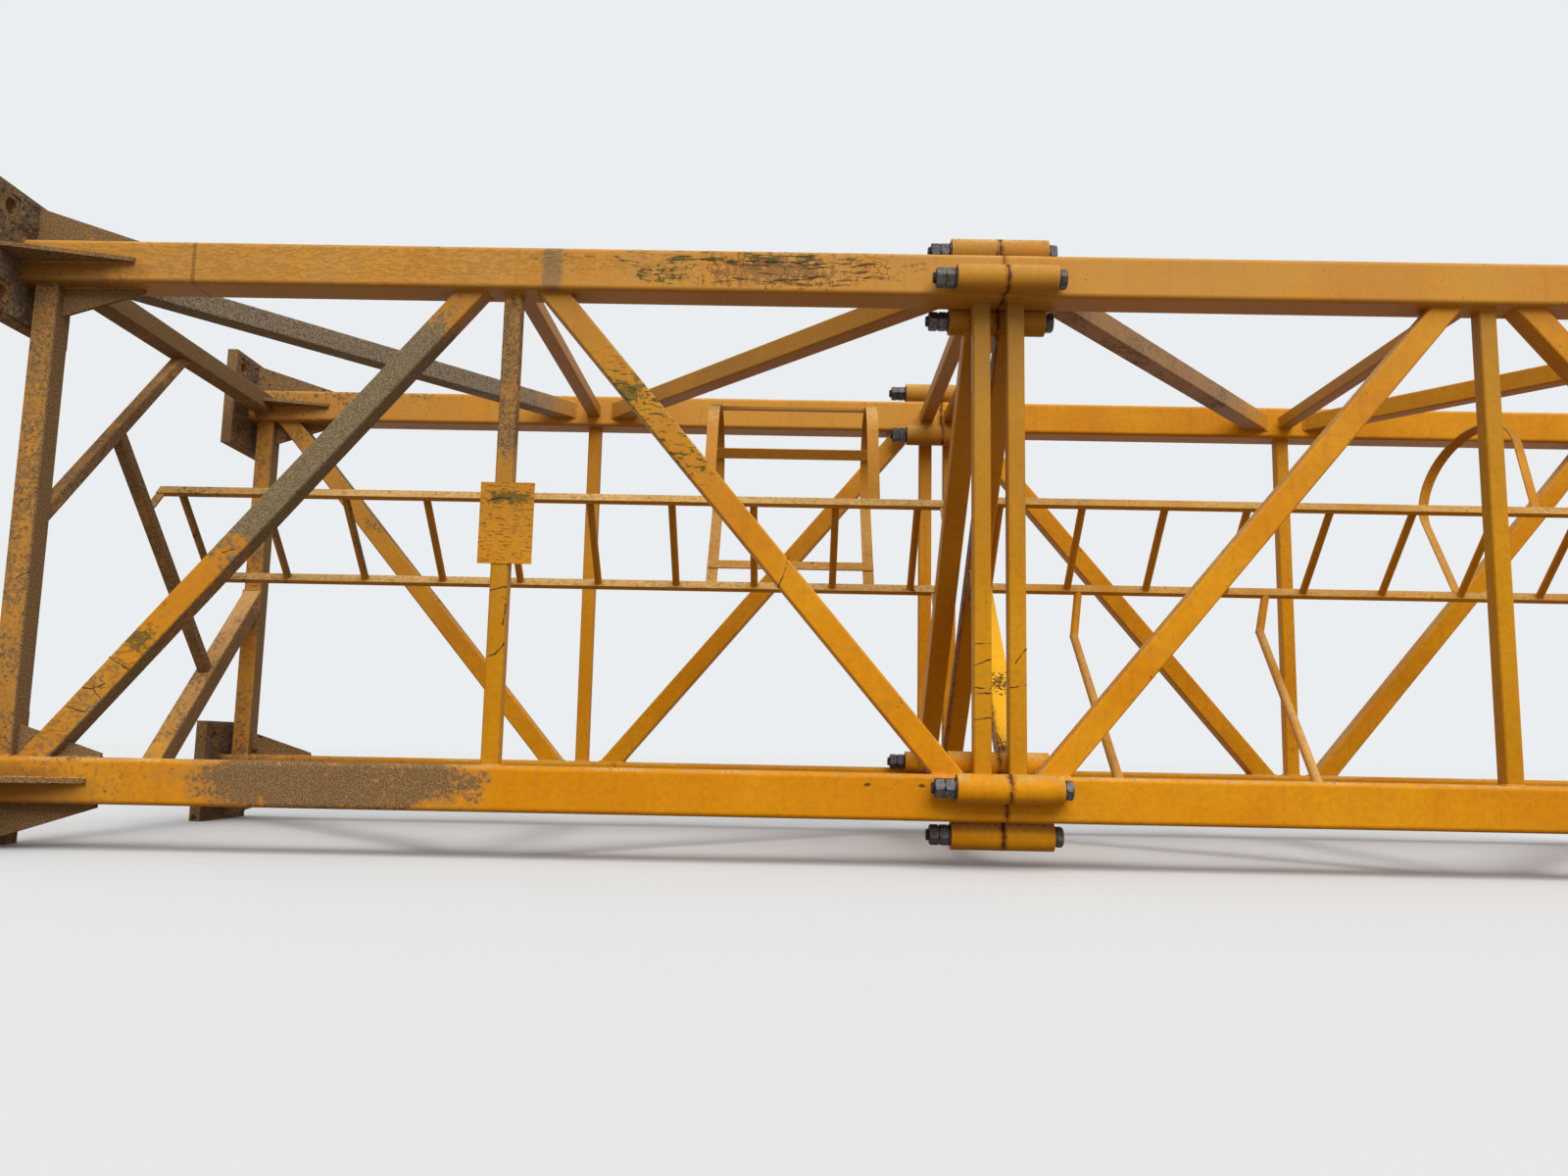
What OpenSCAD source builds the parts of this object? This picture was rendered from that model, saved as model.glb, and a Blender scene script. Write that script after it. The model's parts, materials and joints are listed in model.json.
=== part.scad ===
// Two bolted sections of a tower crane's lattice mast, lying on one side as in a
// storage yard: a base section with four anchor feet and a standard section.
// X runs along the mast, from the feet to the open end. Z is up. The origin is at the
// middle of the footprint, at the height of the lowest foot edge.

/* [Mast] */
// Distance between the centres of neighbouring chords
chord_spacing = 1475; // [1200:5:1700]
// Length of the standard section, from end to end
upper_length = 2800; // [2400:10:3200]
// Length of the base section, from its joint to its foot plates
base_length = 2820; // [2400:10:3200]

/* [Chords] */
// Outside width of the square chord, welded from two angles
chord_size = 125; // [100:1:160]
// Wall of the chord
chord_wall = 12; // [6:1:20]
// Outside radius of the chord's corners
chord_corner_r = 14; // [6:1:24]

/* [Posts] */
// Outside width of the square tube of a post or strut
post_size = 50; // [40:1:70]
// Wall of a post
post_wall = 5; // [3:0.5:8]
// Outside width of the heavier posts at the feet
foot_post_size = 70; // [50:1:90]
// Distance from a section's near joint face to the centre of its first posts
post_setback = 38.5; // [30:0.5:60]
// Distance from a section's far joint face to the centre of its last posts
last_post_setback = 58.5; // [40:0.5:80]

/* [Diagonals] */
// Outside width of the square tube of a diagonal
diagonal_size = 70; // [50:1:90]
// Wall of a diagonal
diagonal_wall = 6; // [3:0.5:8]
// Outside corner radius of posts and diagonals
tube_corner_r = 7; // [5:0.5:12]
// Distance along the chord from the middle posts to the middle of a diagonal's end
diagonal_apex_offset = 120; // [100:1:160]
// Distance along the chord from the end posts to the middle of a diagonal's end
diagonal_end_offset = 95; // [80:1:140]

/* [Sleeves and bolts] */
// Outside diameter of a bolt sleeve
sleeve_od = 80; // [70:1:95]
// Length of a sleeve
sleeve_length = 141; // [100:1:200]
// How far an outer sleeve lies from the middle of its chord face, towards the mast's middle
sleeve_shift = 28; // [0:1:35]
// Bolt diameter
bolt_d = 33; // [27:1:42]
// Radial clearance between a bolt and its sleeve
bolt_clearance = 1.5; // [0.5:0.1:3]
// Width across the flats of the bolt's head and of its nuts
hex_af = 50; // [41:1:65]
// Height of the bolt's head
head_h = 21; // [18:1:30]
// Height of one nut
nut_h = 27; // [20:1:36]
// Length of thread that stands out of the second nut
thread_end = 9; // [4:1:30]
// Diameter of a washer
washer_d = 60; // [56:1:78]
// Thickness of a washer
washer_t = 5; // [3:0.5:9]

/* [Feet] */
// Width and height of a foot plate
foot_size = 380; // [320:5:460]
// Thickness of a foot plate
foot_t = 40; // [20:1:50]
// Distance from the chord's centre to an anchor hole, across and up
foot_hole_offset = 128; // [100:1:150]
// Diameter of an anchor hole
foot_hole_d = 50; // [30:1:60]
// Distance from the foot plates to the centre of the posts at the feet
foot_post_setback = 63.5; // [45:0.5:90]
// Length of a gusset along the chord
gusset_length = 330; // [200:5:400]
// Height of a gusset at the foot plate
gusset_height = 118; // [60:1:125]
// Height of a gusset at its tip
gusset_tip = 12; // [4:1:30]
// Thickness of a gusset
gusset_t = 12; // [8:1:20]

/* [End braces] */
// Outside width of the tube of the braces beside the joint and at the open end
brace_size = 70; // [50:1:80]
// Outside width of the tube of the upper knee brace at the foot, and of the tie
knee_size = 40; // [30:1:60]
// Outside width of the tube of the lower knee brace
lower_knee_size = 70; // [50:1:90]
// How far the lower knee brace lies outside the line between the middles of its posts
lower_knee_shift = 25; // [0:1:40]

/* [Ladder] */
// Distance between the middles of the rails
ladder_width = 366; // [300:2:420]
// Distance from the mast's axis to the middle of the ladder
ladder_offset = 120; // [90:1:180]
// How far each section's ladder stands off its braces' middle, towards the rear
ladder_shifts = [-9, -24]; // [-40:1:40]
// Distance between rungs
rung_pitch = 280; // [250:1:300]
// Diameter of a rung
rung_d = 26; // [14:1:34]
// Depth of a rail
rail_depth = 40; // [30:1:50]
// Thickness of a rail
rail_width = 16; // [12:1:30]
// Wall of a rail
rail_wall = 3; // [2:0.5:5]
// Distance from the posts at a joint, past their middle, to the end of a rail
rail_setback = 13.5; // [0:0.5:25]
// Distance from the foot plates to the end of a rail
foot_rail_setback = 55; // [10:1:60]
// Distance from the joint to the base section's nearest rung
base_first_rung = 167; // [100:1:200]
// Distance from the joint to the standard section's nearest rung
upper_first_rung = 112; // [100:1:200]
// Width along the mast of a bracket that carries the ladder
bracket_width = 30; // [25:1:50]
// Thickness of a bracket
bracket_t = 6; // [4:1:12]
// Diameter of a bent stay between the ladder and the lower front chord
stay_d = 28; // [14:1:36]
// How much wider the weld ball at a stay's bend is than the stay
stay_weld = 2; // [1:0.5:6]

/* [Ladder cage] */
// Width along the mast of a cage hoop
hoop_width = 40; // [25:1:60]
// Thickness of the cage's flat bars
hoop_t = 5; // [3:0.5:8]
// Radius of a hoop's arc, to the middle of the bar
hoop_r = 225; // [180:1:300]
// Distance of the arc's middle from the mast's axis
hoop_reach = 502; // [450:1:560]
// How far the arc's middle stands off the braces' middle, towards the rear
hoop_shift = -96; // [-120:1:0]
// Distance from the joint to the nearer hoop of the base section
hoop_near = 315; // [200:1:400]
// Distance between the base section's two hoops
hoop_pitch = 568; // [400:1:700]
// Distance from the joint to the standard section's hoop, which is bent out of line
bent_hoop_x = 1847; // [1600:1:2200]
// Degrees that the bent hoop is turned, and that it leans over
bent_hoop_turn = 21; // [0:1:30]
bent_hoop_lean = 3; // [0:1:8]
// Places of two cage strips, in degrees round the arc
strip_angles = [72, 140]; // [20:1:180]
// Distance of the third strip from the lower rail
strip_height = 75; // [40:1:120]

/* [Blank plate] */
// Width and height of the blank plate on the front middle post
blank_plate_size = [152, 232]; // [60:1:300]
// Thickness of the blank plate
blank_plate_t = 3; // [1:0.5:6]
// How far the blank plate's middle is from the middle post's, towards the joint
blank_plate_offset = 14; // [-40:1:40]

/* [Hidden] */
$fn = 48;

// Half of the distance between chords, and the chord's half width
half_mast = chord_spacing / 2;
half_chord = chord_size / 2;
// Distance from the mast's axis to the chord faces that look at each other
face_inner = half_mast - half_chord;
// Facets of the hoops' arcs; a hoop's legs are a little thinner and end inside the arc
arc_facets = 180;
leg_t = hoop_t - 0.5;
// Long enough to cut through anything here
far = 2 * (base_length + upper_length);
// Cuts run this far past the faces that they open
cut = 1;
// Stations along the mast
foot_face_x = -base_length;
foot_post_x = foot_face_x + foot_post_setback;
open_end_x = upper_length;
upper_mid_x = (post_setback + open_end_x - last_post_setback) / 2;
base_mid_x = upper_mid_x - upper_length;
// The mast's axis stands this high over the lowest foot edge, and the origin is at
// the middle of the length
axis_z = half_mast + foot_size / 2;
middle_x = (open_end_x - base_length - foot_t) / 2;
// Sleeves lie against the chord: two on its outer faces, one on its inner corner
sleeve_r = sleeve_od / 2;
sleeve_bore_r = bolt_d / 2 + bolt_clearance;
outer_sleeve = half_chord + sleeve_r;
inner_sleeve = ((half_chord - chord_corner_r) * sqrt(2) + chord_corner_r + sleeve_r) / sqrt(2);
sleeve_places = [[-outer_sleeve, -sleeve_shift], [sleeve_shift, outer_sleeve], [inner_sleeve, -inner_sleeve]];
// Distance from the axis to the inner faces of the posts and struts at the foot, and to
// the middles of the two knee braces between them
knee_reach = half_mast - foot_post_size / 2;
upper_knee = knee_reach / sqrt(2);
lower_knee = half_mast / sqrt(2) + lower_knee_shift;
// Corner braces end against the inner sleeves
brace_half = half_mast * sqrt(2) - inner_sleeve * sqrt(2);
// Rungs, and the ladder faces that its stays (front) and hoops (back) end on
base_rungs = [for (x = -base_first_rung; x > foot_face_x + foot_rail_setback + rung_d;
                   x = x - rung_pitch) x];
far_rail_end_x = open_end_x - last_post_setback - rail_setback;
upper_rungs = [for (x = upper_first_rung; x < far_rail_end_x - rung_d; x = x + rung_pitch) x];
ladder_front = ladder_offset - rail_depth / 2;
ladder_back = ladder_offset + rail_depth / 2;
// Bent stays: X of the foot on the chord, X, Y and Z of the knee, X of the end on the rail
stays = [[333, [400, 130, -203], 433], [886, [1050, 130, -174], 1101]];

// Moves the mast from its axis and joint plane to the part's own frame
module place() {
    translate([-middle_x, 0, axis_z]) children();
}

// Turns the front face (0) to the bottom (1), the rear (2) or the top (3)
module turn(face) {
    rotate([90 * face, 0, 0]) children();
}

// A square outline with round corners, centred
module rounded_square(size, r) {
    square([size, size - 2 * r], center = true);
    square([size - 2 * r, size], center = true);
    for (y = [-1, 1], z = [-1, 1])
        translate([y * (size / 2 - r), z * (size / 2 - r)]) circle(r);
}

// A square tube along X from x0 to x1
module tube_x(size, wall, r, x0, x1) {
    translate([x0, 0, 0]) rotate([90, 0, 90])
        linear_extrude(x1 - x0) difference() {
            rounded_square(size, r);
            rounded_square(size - 2 * wall, max(r - wall, 1));
        }
}

// The chord at the front top edge, or the same chord of another face
module chord(face, x0, x1) {
    turn(face) translate([0, -half_mast, half_mast])
        tube_x(chord_size, chord_wall, chord_corner_r, x0, x1);
}

// A post of the front face at x, between the two front chords
module post(x, size) {
    translate([x, -half_mast, 0]) rotate([0, 90, 0])
        tube_x(size, post_wall, tube_corner_r, -face_inner, face_inner);
}

// A diagonal of the front face, cut off flush at both chords
module diagonal(x_top, x_bottom) {
    run = x_bottom - x_top;
    drop = 2 * face_inner;
    length = norm([run, drop]);
    intersection() {
        translate([(x_top + x_bottom) / 2, -half_mast, 0]) rotate([0, atan2(drop, run), 0])
            tube_x(diagonal_size, diagonal_wall, tube_corner_r, -length, length);
        cube([far, far, drop], center = true);
    }
}

// Posts of one face of the base section: at the foot, in the middle and at the joint
module base_posts(face) {
    turn(face) {
        post(foot_post_x, foot_post_size);
        post(base_mid_x, post_size);
        post(-last_post_setback, post_size);
    }
}

// Posts of one face of the standard section
module upper_posts(face) {
    turn(face) for (x = [post_setback, upper_mid_x, open_end_x - last_post_setback])
        post(x, post_size);
}

// The two diagonals of one face, which meet at a chord beside the middle post
module face_diagonals(face, x0, x_mid, x1) {
    turn(face) {
        diagonal(x_mid - diagonal_apex_offset, x0 + diagonal_end_offset);
        diagonal(x_mid + diagonal_apex_offset, x1 - diagonal_end_offset);
    }
}

module base_diagonals(face) {
    face_diagonals(face, foot_post_x, base_mid_x, -last_post_setback);
}

module upper_diagonals(face) {
    face_diagonals(face, post_setback, upper_mid_x, open_end_x - last_post_setback);
}

// The space that a diagonal of the front face takes up, run on past its ends
module diagonal_space(x_top, x_bottom) {
    run = x_bottom - x_top;
    drop = 2 * face_inner;
    translate([(x_top + x_bottom) / 2, -half_mast, 0]) rotate([0, atan2(drop, run), 0])
        cube([2 * norm([run, drop]), diagonal_size, diagonal_size], center = true);
}

// One foot: a plate with four anchor holes, and a gusset on every face of the chord. The
// diagonal that lands on one face interrupts the gusset there
module foot(face) {
    past_post = foot_post_setback + foot_post_size / 2;
    turn(face) translate([foot_face_x, -half_mast, half_mast]) {
        difference() {
            translate([-foot_t, -foot_size / 2, -foot_size / 2])
                cube([foot_t, foot_size, foot_size]);
            for (y = [-1, 1], z = [-1, 1])
                translate([-foot_t - cut, y * foot_hole_offset, z * foot_hole_offset])
                    rotate([0, 90, 0]) cylinder(d = foot_hole_d, h = foot_t + 2 * cut);
        }
        gusset(0, 0);
        gusset(90, 0);
        gusset(180, past_post);
    }
    difference() {
        turn(face) translate([foot_face_x, -half_mast, half_mast]) gusset(270, past_post);
        turn(face - 1)
            diagonal_space(base_mid_x - diagonal_apex_offset, foot_post_x + diagonal_end_offset);
    }
}

// A gusset on one face of the chord, from x_start past the foot plate's face
module gusset(turned, x_start) {
    start_height = gusset_height - (gusset_height - gusset_tip) * x_start / gusset_length;
    rotate([turned, 0, 0]) translate([0, gusset_t / 2, half_chord]) rotate([90, 0, 0])
        linear_extrude(gusset_t) polygon([
            [x_start, 0], [gusset_length, 0],
            [gusset_length, gusset_tip], [x_start, start_height]
        ]);
}

// A knee brace at the foot, from the front post to the top strut (face 0) or from the
// rear post to the bottom strut (face 2), so far from the axis
module knee_brace(face, size, distance) {
    step = distance / sqrt(2);
    turn(face) intersection() {
        translate([foot_post_x, -step, step]) rotate([-45, 0, 0]) rotate([0, 90, 0])
            tube_x(size, post_wall, tube_corner_r, -half_mast, half_mast);
        translate([foot_post_x, 0, 0]) cube([2 * size, 2 * knee_reach, 2 * knee_reach], center = true);
    }
}

module knee_braces() {
    knee_brace(0, knee_size, upper_knee);
    knee_brace(2, lower_knee_size, lower_knee);
}

// The tie that joins the middles of the two knee braces
module tie() {
    translate([foot_post_x, 0, 0]) rotate([-45, 0, 0]) rotate([0, 0, 90])
        tube_x(knee_size, post_wall, tube_corner_r, knee_size / 2 - upper_knee, lower_knee - lower_knee_size / 2);
}

// A brace across a joint, shaped to the inner sleeves that it ends on. It runs from y0
// to y1 between opposite corners: front top and rear bottom (-45), or the others (45)
module joint_brace(x, turned = -45, y0 = -brace_half, y1 = brace_half) {
    rotate([turned, 0, 0]) difference() {
        translate([x, 0, 0]) rotate([0, 0, 90])
            tube_x(brace_size, post_wall, tube_corner_r, y0, y1);
        for (end = [-1, 1]) translate([x - brace_size, end * brace_half, 0]) rotate([0, 90, 0])
            cylinder(r = sleeve_r, h = 2 * brace_size);
    }
}

// The twelve sleeves of one end of a section, from x0 to x1
module end_sleeves(x0, x1) {
    for (face = [0:3], p = sleeve_places) turn(face)
        translate([x0, -half_mast + p[0], half_mast + p[1]]) rotate([0, 90, 0])
            difference() {
                cylinder(r = sleeve_r, h = x1 - x0);
                translate([0, 0, -cut]) cylinder(r = sleeve_bore_r, h = x1 - x0 + 2 * cut);
            }
}

// One bolt with its washers and two nuts; the nuts are on the base section's side
module bolt() {
    nut_stack = washer_t + 2 * nut_h + thread_end;
    rotate([0, 90, 0]) {
        translate([0, 0, -sleeve_length - nut_stack])
            cylinder(d = bolt_d, h = 2 * sleeve_length + nut_stack + washer_t + head_h / 2);
        for (z = [-sleeve_length - washer_t, sleeve_length])
            translate([0, 0, z]) cylinder(d = washer_d, h = washer_t);
        translate([0, 0, sleeve_length + washer_t]) hex(head_h);
        translate([0, 0, -sleeve_length - washer_t - 2 * nut_h]) hex(2 * nut_h);
    }
}

// A hexagon of the bolt's width across the flats
module hex(h) {
    cylinder(d = hex_af / cos(30), h = h, $fn = 6);
}

module joint_bolts() {
    for (face = [0:3], p = sleeve_places) turn(face)
        translate([0, -half_mast + p[0], half_mast + p[1]]) bolt();
}

// The ladder's own plane: X along the mast, Y across the rungs, Z away from the axis
module ladder_plane() {
    rotate([-45, 0, 0]) children();
}

// The two rails of one section's ladder, from x0 to x1
module ladder_rails(x0, x1, shift) {
    ladder_plane() for (side = [-1, 1])
        translate([x0, shift + side * ladder_width / 2, ladder_offset]) rotate([90, 0, 90])
            linear_extrude(x1 - x0) difference() {
                square([rail_width, rail_depth], center = true);
                square([rail_width - 2 * rail_wall, rail_depth - 2 * rail_wall], center = true);
            }
}

module ladder_rungs(places, shift) {
    length = ladder_width - rail_width;
    ladder_plane() for (x = places)
        translate([x, shift + length / 2, ladder_offset]) rotate([90, 0, 0])
            cylinder(d = rung_d, h = length);
}

// Flat lugs between a tube of some size, whose middle is at x, and the ladder's rails.
// They stand on the tube's edge that is farther along (toward 1) or back (-1)
module ladder_brackets(x, size, toward, shift) {
    middle = x + toward * (size - bracket_width) / 2;
    ladder_plane() for (side = [-1, 1])
        translate([middle - bracket_width / 2, shift + (side * ladder_width - bracket_t) / 2, size / 2])
            cube([bracket_width, bracket_t, ladder_front - size / 2]);
}

// A round rod between two points
module rod(a, b) {
    d = b - a;
    translate(a) rotate([0, acos(d[2] / norm(d)), atan2(d[1], d[0])])
        cylinder(d = stay_d, h = norm(d));
}

// A bent rod from the lower front chord's inner edge to the ladder's lower rail, with a
// weld ball at the bend
module stay(foot_x, knee, end_x) {
    y = ladder_shifts[1] + ladder_width / 2;
    corner = -half_mast + half_chord - chord_corner_r;
    end = [end_x, (y + ladder_offset) / sqrt(2), (ladder_offset - y) / sqrt(2)];
    difference() {
        union() {
            rod([foot_x, corner, corner], knee);
            translate(knee) sphere(d = stay_d + stay_weld);
            rod(knee, end);
        }
        ladder_plane() translate([end_x - rail_depth, y - rail_depth, ladder_front])
            cube([2 * rail_depth, 2 * rail_depth, rail_depth]);
        translate([foot_x - chord_size, -half_mast, -half_mast]) rotate([90, 0, 90])
            linear_extrude(2 * chord_size) rounded_square(chord_size, chord_corner_r);
    }
}

// A hoop's leg runs from its foot on a rail tangent to the arc: its angle and length
function leg(foot, side) =
    let (to = [hoop_shift, hoop_reach] - foot)
    [atan2(to[1], to[0]) - side * asin(hoop_r / norm(to)), sqrt(to * to - hoop_r * hoop_r)];

// A hoop's outline across the ladder, with its feet at y0 and y1; the legs run on
// below the ladder's back, to be cut off there
module hoop_outline(y0, y1) {
    feet = [[y0, ladder_back], [y1, ladder_back]];
    legs = [leg(feet[0], -1), leg(feet[1], 1)];
    ends = [legs[0][0] + 90, legs[1][0] + 270];
    translate([hoop_shift, hoop_reach]) difference() {
        circle(hoop_r + hoop_t / 2, $fn = arc_facets);
        circle(hoop_r - hoop_t / 2, $fn = arc_facets);
        polygon([[0, 0], for (a = [ends[0], (ends[0] + ends[1]) / 2, ends[1]])
                 3 * hoop_r * [cos(a), sin(a)]]);
    }
    for (i = [0, 1]) translate(feet[i]) rotate(legs[i][0])
        translate([-rail_width, -leg_t / 2]) square([rail_width + legs[i][1] + cut, leg_t]);
}

// A hoop at x, turned and leaning by so many degrees, cut off at the ladder's back
module hoop(x, shift, turned = 0, leaning = 0) {
    half = ladder_width / 2;
    ladder_plane() difference() {
        translate([x, 0, 0]) rotate([0, leaning, turned]) translate([-hoop_width / 2, 0, 0])
            rotate([90, 0, 90]) linear_extrude(hoop_width)
                hoop_outline((shift - half) / cos(turned), (shift + half) / cos(turned));
        translate([x - ladder_width, -ladder_width, ladder_back - ladder_width])
            cube([2 * ladder_width, 2 * ladder_width, ladder_width]);
    }
}

module cage_hoops() {
    hoop(-hoop_near, ladder_shifts[0]);
    hoop(-hoop_near - hoop_pitch, ladder_shifts[0]);
    hoop(bent_hoop_x, ladder_shifts[1], bent_hoop_turn, bent_hoop_lean);
}

// Strips inside the base section's hoops: two on the arc, one on the lower leg
module cage_strips() {
    inside = hoop_r - hoop_t / 2;
    foot = [ladder_shifts[0] + ladder_width / 2, ladder_back];
    ladder_plane() translate([-hoop_near - hoop_pitch - hoop_width / 2, 0, 0]) rotate([90, 0, 90])
        linear_extrude(hoop_pitch + hoop_width) {
            translate([hoop_shift, hoop_reach]) intersection() {
                circle(inside, $fn = arc_facets);
                for (a = strip_angles) rotate(a)
                    translate([inside - 2 * hoop_t, -hoop_width / 2]) square([2 * hoop_t, hoop_width]);
            }
            translate(foot) rotate(leg(foot, 1)[0])
                translate([strip_height, leg_t / 2]) square([hoop_width, hoop_t]);
        }
}

module blank_plate() {
    translate([base_mid_x + blank_plate_offset, -half_mast - (post_size + blank_plate_t) / 2, 0])
        cube([blank_plate_size[0], blank_plate_t, blank_plate_size[1]], center = true);
}

paint = "goldenrod";
steel = "dimgray";

color(paint) place() chord(0, foot_face_x, 0);  // base_chord_front_top
color(paint) place() chord(1, foot_face_x, 0);  // base_chord_front_bottom
color(paint) place() chord(2, foot_face_x, 0);  // base_chord_rear_bottom
color(paint) place() chord(3, foot_face_x, 0);  // base_chord_rear_top
color(paint) place() chord(0, 0, open_end_x);  // upper_chord_front_top
color(paint) place() chord(1, 0, open_end_x);  // upper_chord_front_bottom
color(paint) place() chord(2, 0, open_end_x);  // upper_chord_rear_bottom
color(paint) place() chord(3, 0, open_end_x);  // upper_chord_rear_top
color(paint) place() base_posts(0);  // base_front_posts
color(paint) place() base_posts(1);  // base_bottom_struts
color(paint) place() base_posts(2);  // base_rear_posts
color(paint) place() base_posts(3);  // base_top_struts
color(paint) place() upper_posts(0);  // upper_front_posts
color(paint) place() upper_posts(1);  // upper_bottom_struts
color(paint) place() upper_posts(2);  // upper_rear_posts
color(paint) place() upper_posts(3);  // upper_top_struts
color(paint) place() base_diagonals(0);  // base_front_diagonals
color(paint) place() base_diagonals(1);  // base_bottom_diagonals
color(paint) place() base_diagonals(2);  // base_rear_diagonals
color(paint) place() base_diagonals(3);  // base_top_diagonals
color(paint) place() upper_diagonals(0);  // upper_front_diagonals
color(paint) place() upper_diagonals(1);  // upper_bottom_diagonals
color(paint) place() upper_diagonals(2);  // upper_rear_diagonals
color(paint) place() upper_diagonals(3);  // upper_top_diagonals
color(paint) place() foot(0);  // foot_front_top
color(paint) place() foot(1);  // foot_front_bottom
color(paint) place() foot(2);  // foot_rear_bottom
color(paint) place() foot(3);  // foot_rear_top
color(paint) place() knee_braces();  // foot_knee_braces
color(paint) place() tie();  // foot_tie
color(paint) place() joint_brace(-last_post_setback);  // base_joint_brace
color(paint) place() {  // upper_end_braces
    joint_brace(post_setback);
    joint_brace(post_setback, turned = 45, y1 = -brace_size / 2);
    joint_brace(open_end_x - last_post_setback);
}
color(paint) place() end_sleeves(-sleeve_length, 0);  // joint_sleeves_base
color(paint) place() end_sleeves(0, sleeve_length);  // joint_sleeves_upper
color(paint) place()
    end_sleeves(open_end_x - sleeve_length, open_end_x);
color(steel) place() joint_bolts();
color(paint) place()  // base_ladder_rails
    ladder_rails(foot_face_x + foot_rail_setback, -last_post_setback - rail_setback, ladder_shifts[0]);
color(paint) place()  // base_ladder_rungs
    ladder_rungs(base_rungs, ladder_shifts[0]);
color(paint) place() {  // base_ladder_brackets
    ladder_brackets(foot_post_x, knee_size, 1, ladder_shifts[0]);
    ladder_brackets(-last_post_setback, brace_size, -1, ladder_shifts[0]);
}
color(paint) place()  // upper_ladder_rails
    ladder_rails(post_setback + rail_setback, far_rail_end_x, ladder_shifts[1]);
color(paint) place()  // upper_ladder_rungs
    ladder_rungs(upper_rungs, ladder_shifts[1]);
color(paint) place() {  // upper_ladder_brackets
    ladder_brackets(post_setback, brace_size, 1, ladder_shifts[1]);
    ladder_brackets(open_end_x - last_post_setback, brace_size, -1, ladder_shifts[1]);
    for (s = stays) stay(s[0], s[1], s[2]);
}
color(paint) place() cage_hoops();
color(paint) place() cage_strips();
color(paint) place() blank_plate();
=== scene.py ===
"""Looks of two bolted sections of a tower crane's lattice mast, round the CAD frame.

The lattice itself is the CAD. This script dresses it in weathered amber paint, with painted shade,
shadow and highlight in places, and adds what the CAD leaves out: weld beads, threaded bolts,
caked soil, paint cracks and rust.
"""

import itertools
import json
import logging
import math
from collections.abc import Sequence
from dataclasses import dataclass, field
from enum import Enum
from typing import Any

import bmesh
import bpy
from mathutils import Matrix, Vector

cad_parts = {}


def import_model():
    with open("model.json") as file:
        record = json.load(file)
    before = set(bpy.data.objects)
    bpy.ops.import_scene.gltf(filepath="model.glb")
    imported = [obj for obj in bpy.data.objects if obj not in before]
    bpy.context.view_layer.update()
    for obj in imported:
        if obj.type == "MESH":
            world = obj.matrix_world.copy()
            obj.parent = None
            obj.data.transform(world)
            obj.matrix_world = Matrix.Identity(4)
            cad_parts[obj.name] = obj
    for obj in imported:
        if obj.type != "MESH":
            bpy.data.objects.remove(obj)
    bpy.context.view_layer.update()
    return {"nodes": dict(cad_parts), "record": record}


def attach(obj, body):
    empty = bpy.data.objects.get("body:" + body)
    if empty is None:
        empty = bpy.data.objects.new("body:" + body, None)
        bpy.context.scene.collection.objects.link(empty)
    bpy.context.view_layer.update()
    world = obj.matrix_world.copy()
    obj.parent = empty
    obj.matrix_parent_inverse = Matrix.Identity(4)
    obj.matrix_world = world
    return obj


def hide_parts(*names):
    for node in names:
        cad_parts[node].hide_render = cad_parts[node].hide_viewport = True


logging.basicConfig(level=logging.INFO, format="%(message)s")
LOG = logging.getLogger("mast")

Point = tuple[float, float, float]
Color = tuple[float, float, float, float]
Node = bpy.types.Node
Socket = bpy.types.NodeSocket
NodeTree = bpy.types.NodeTree
Material = bpy.types.Material
Thing = bpy.types.Object
BODY = "root"


def rgb(red: int, green: int, blue: int) -> Color:
    """Turns a colour as a screen shows it, 0 to 255, into Blender's linear values.

    Args:
        red: The red part.
        green: The green part.
        blue: The blue part.

    Returns:
        The colour in linear light, with full alpha.
    """
    linear = []
    for part in (red, green, blue):
        value = part / 255
        linear.append(value / 12.92 if value <= 0.04045 else ((value + 0.055) / 1.055) ** 2.4)
    return (linear[0], linear[1], linear[2], 1.0)


class Face(Enum):
    """The four faces of the mast, by quarter turns about its axis from the front."""

    FRONT = 0
    BOTTOM = 1
    REAR = 2
    TOP = 3


class Slot(Enum):
    """The record's material slots."""

    MAST = "mast_paint"
    FOOT = "foot_paint"
    LADDER = "ladder_paint"
    BOLT = "bolt_steel"


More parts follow.
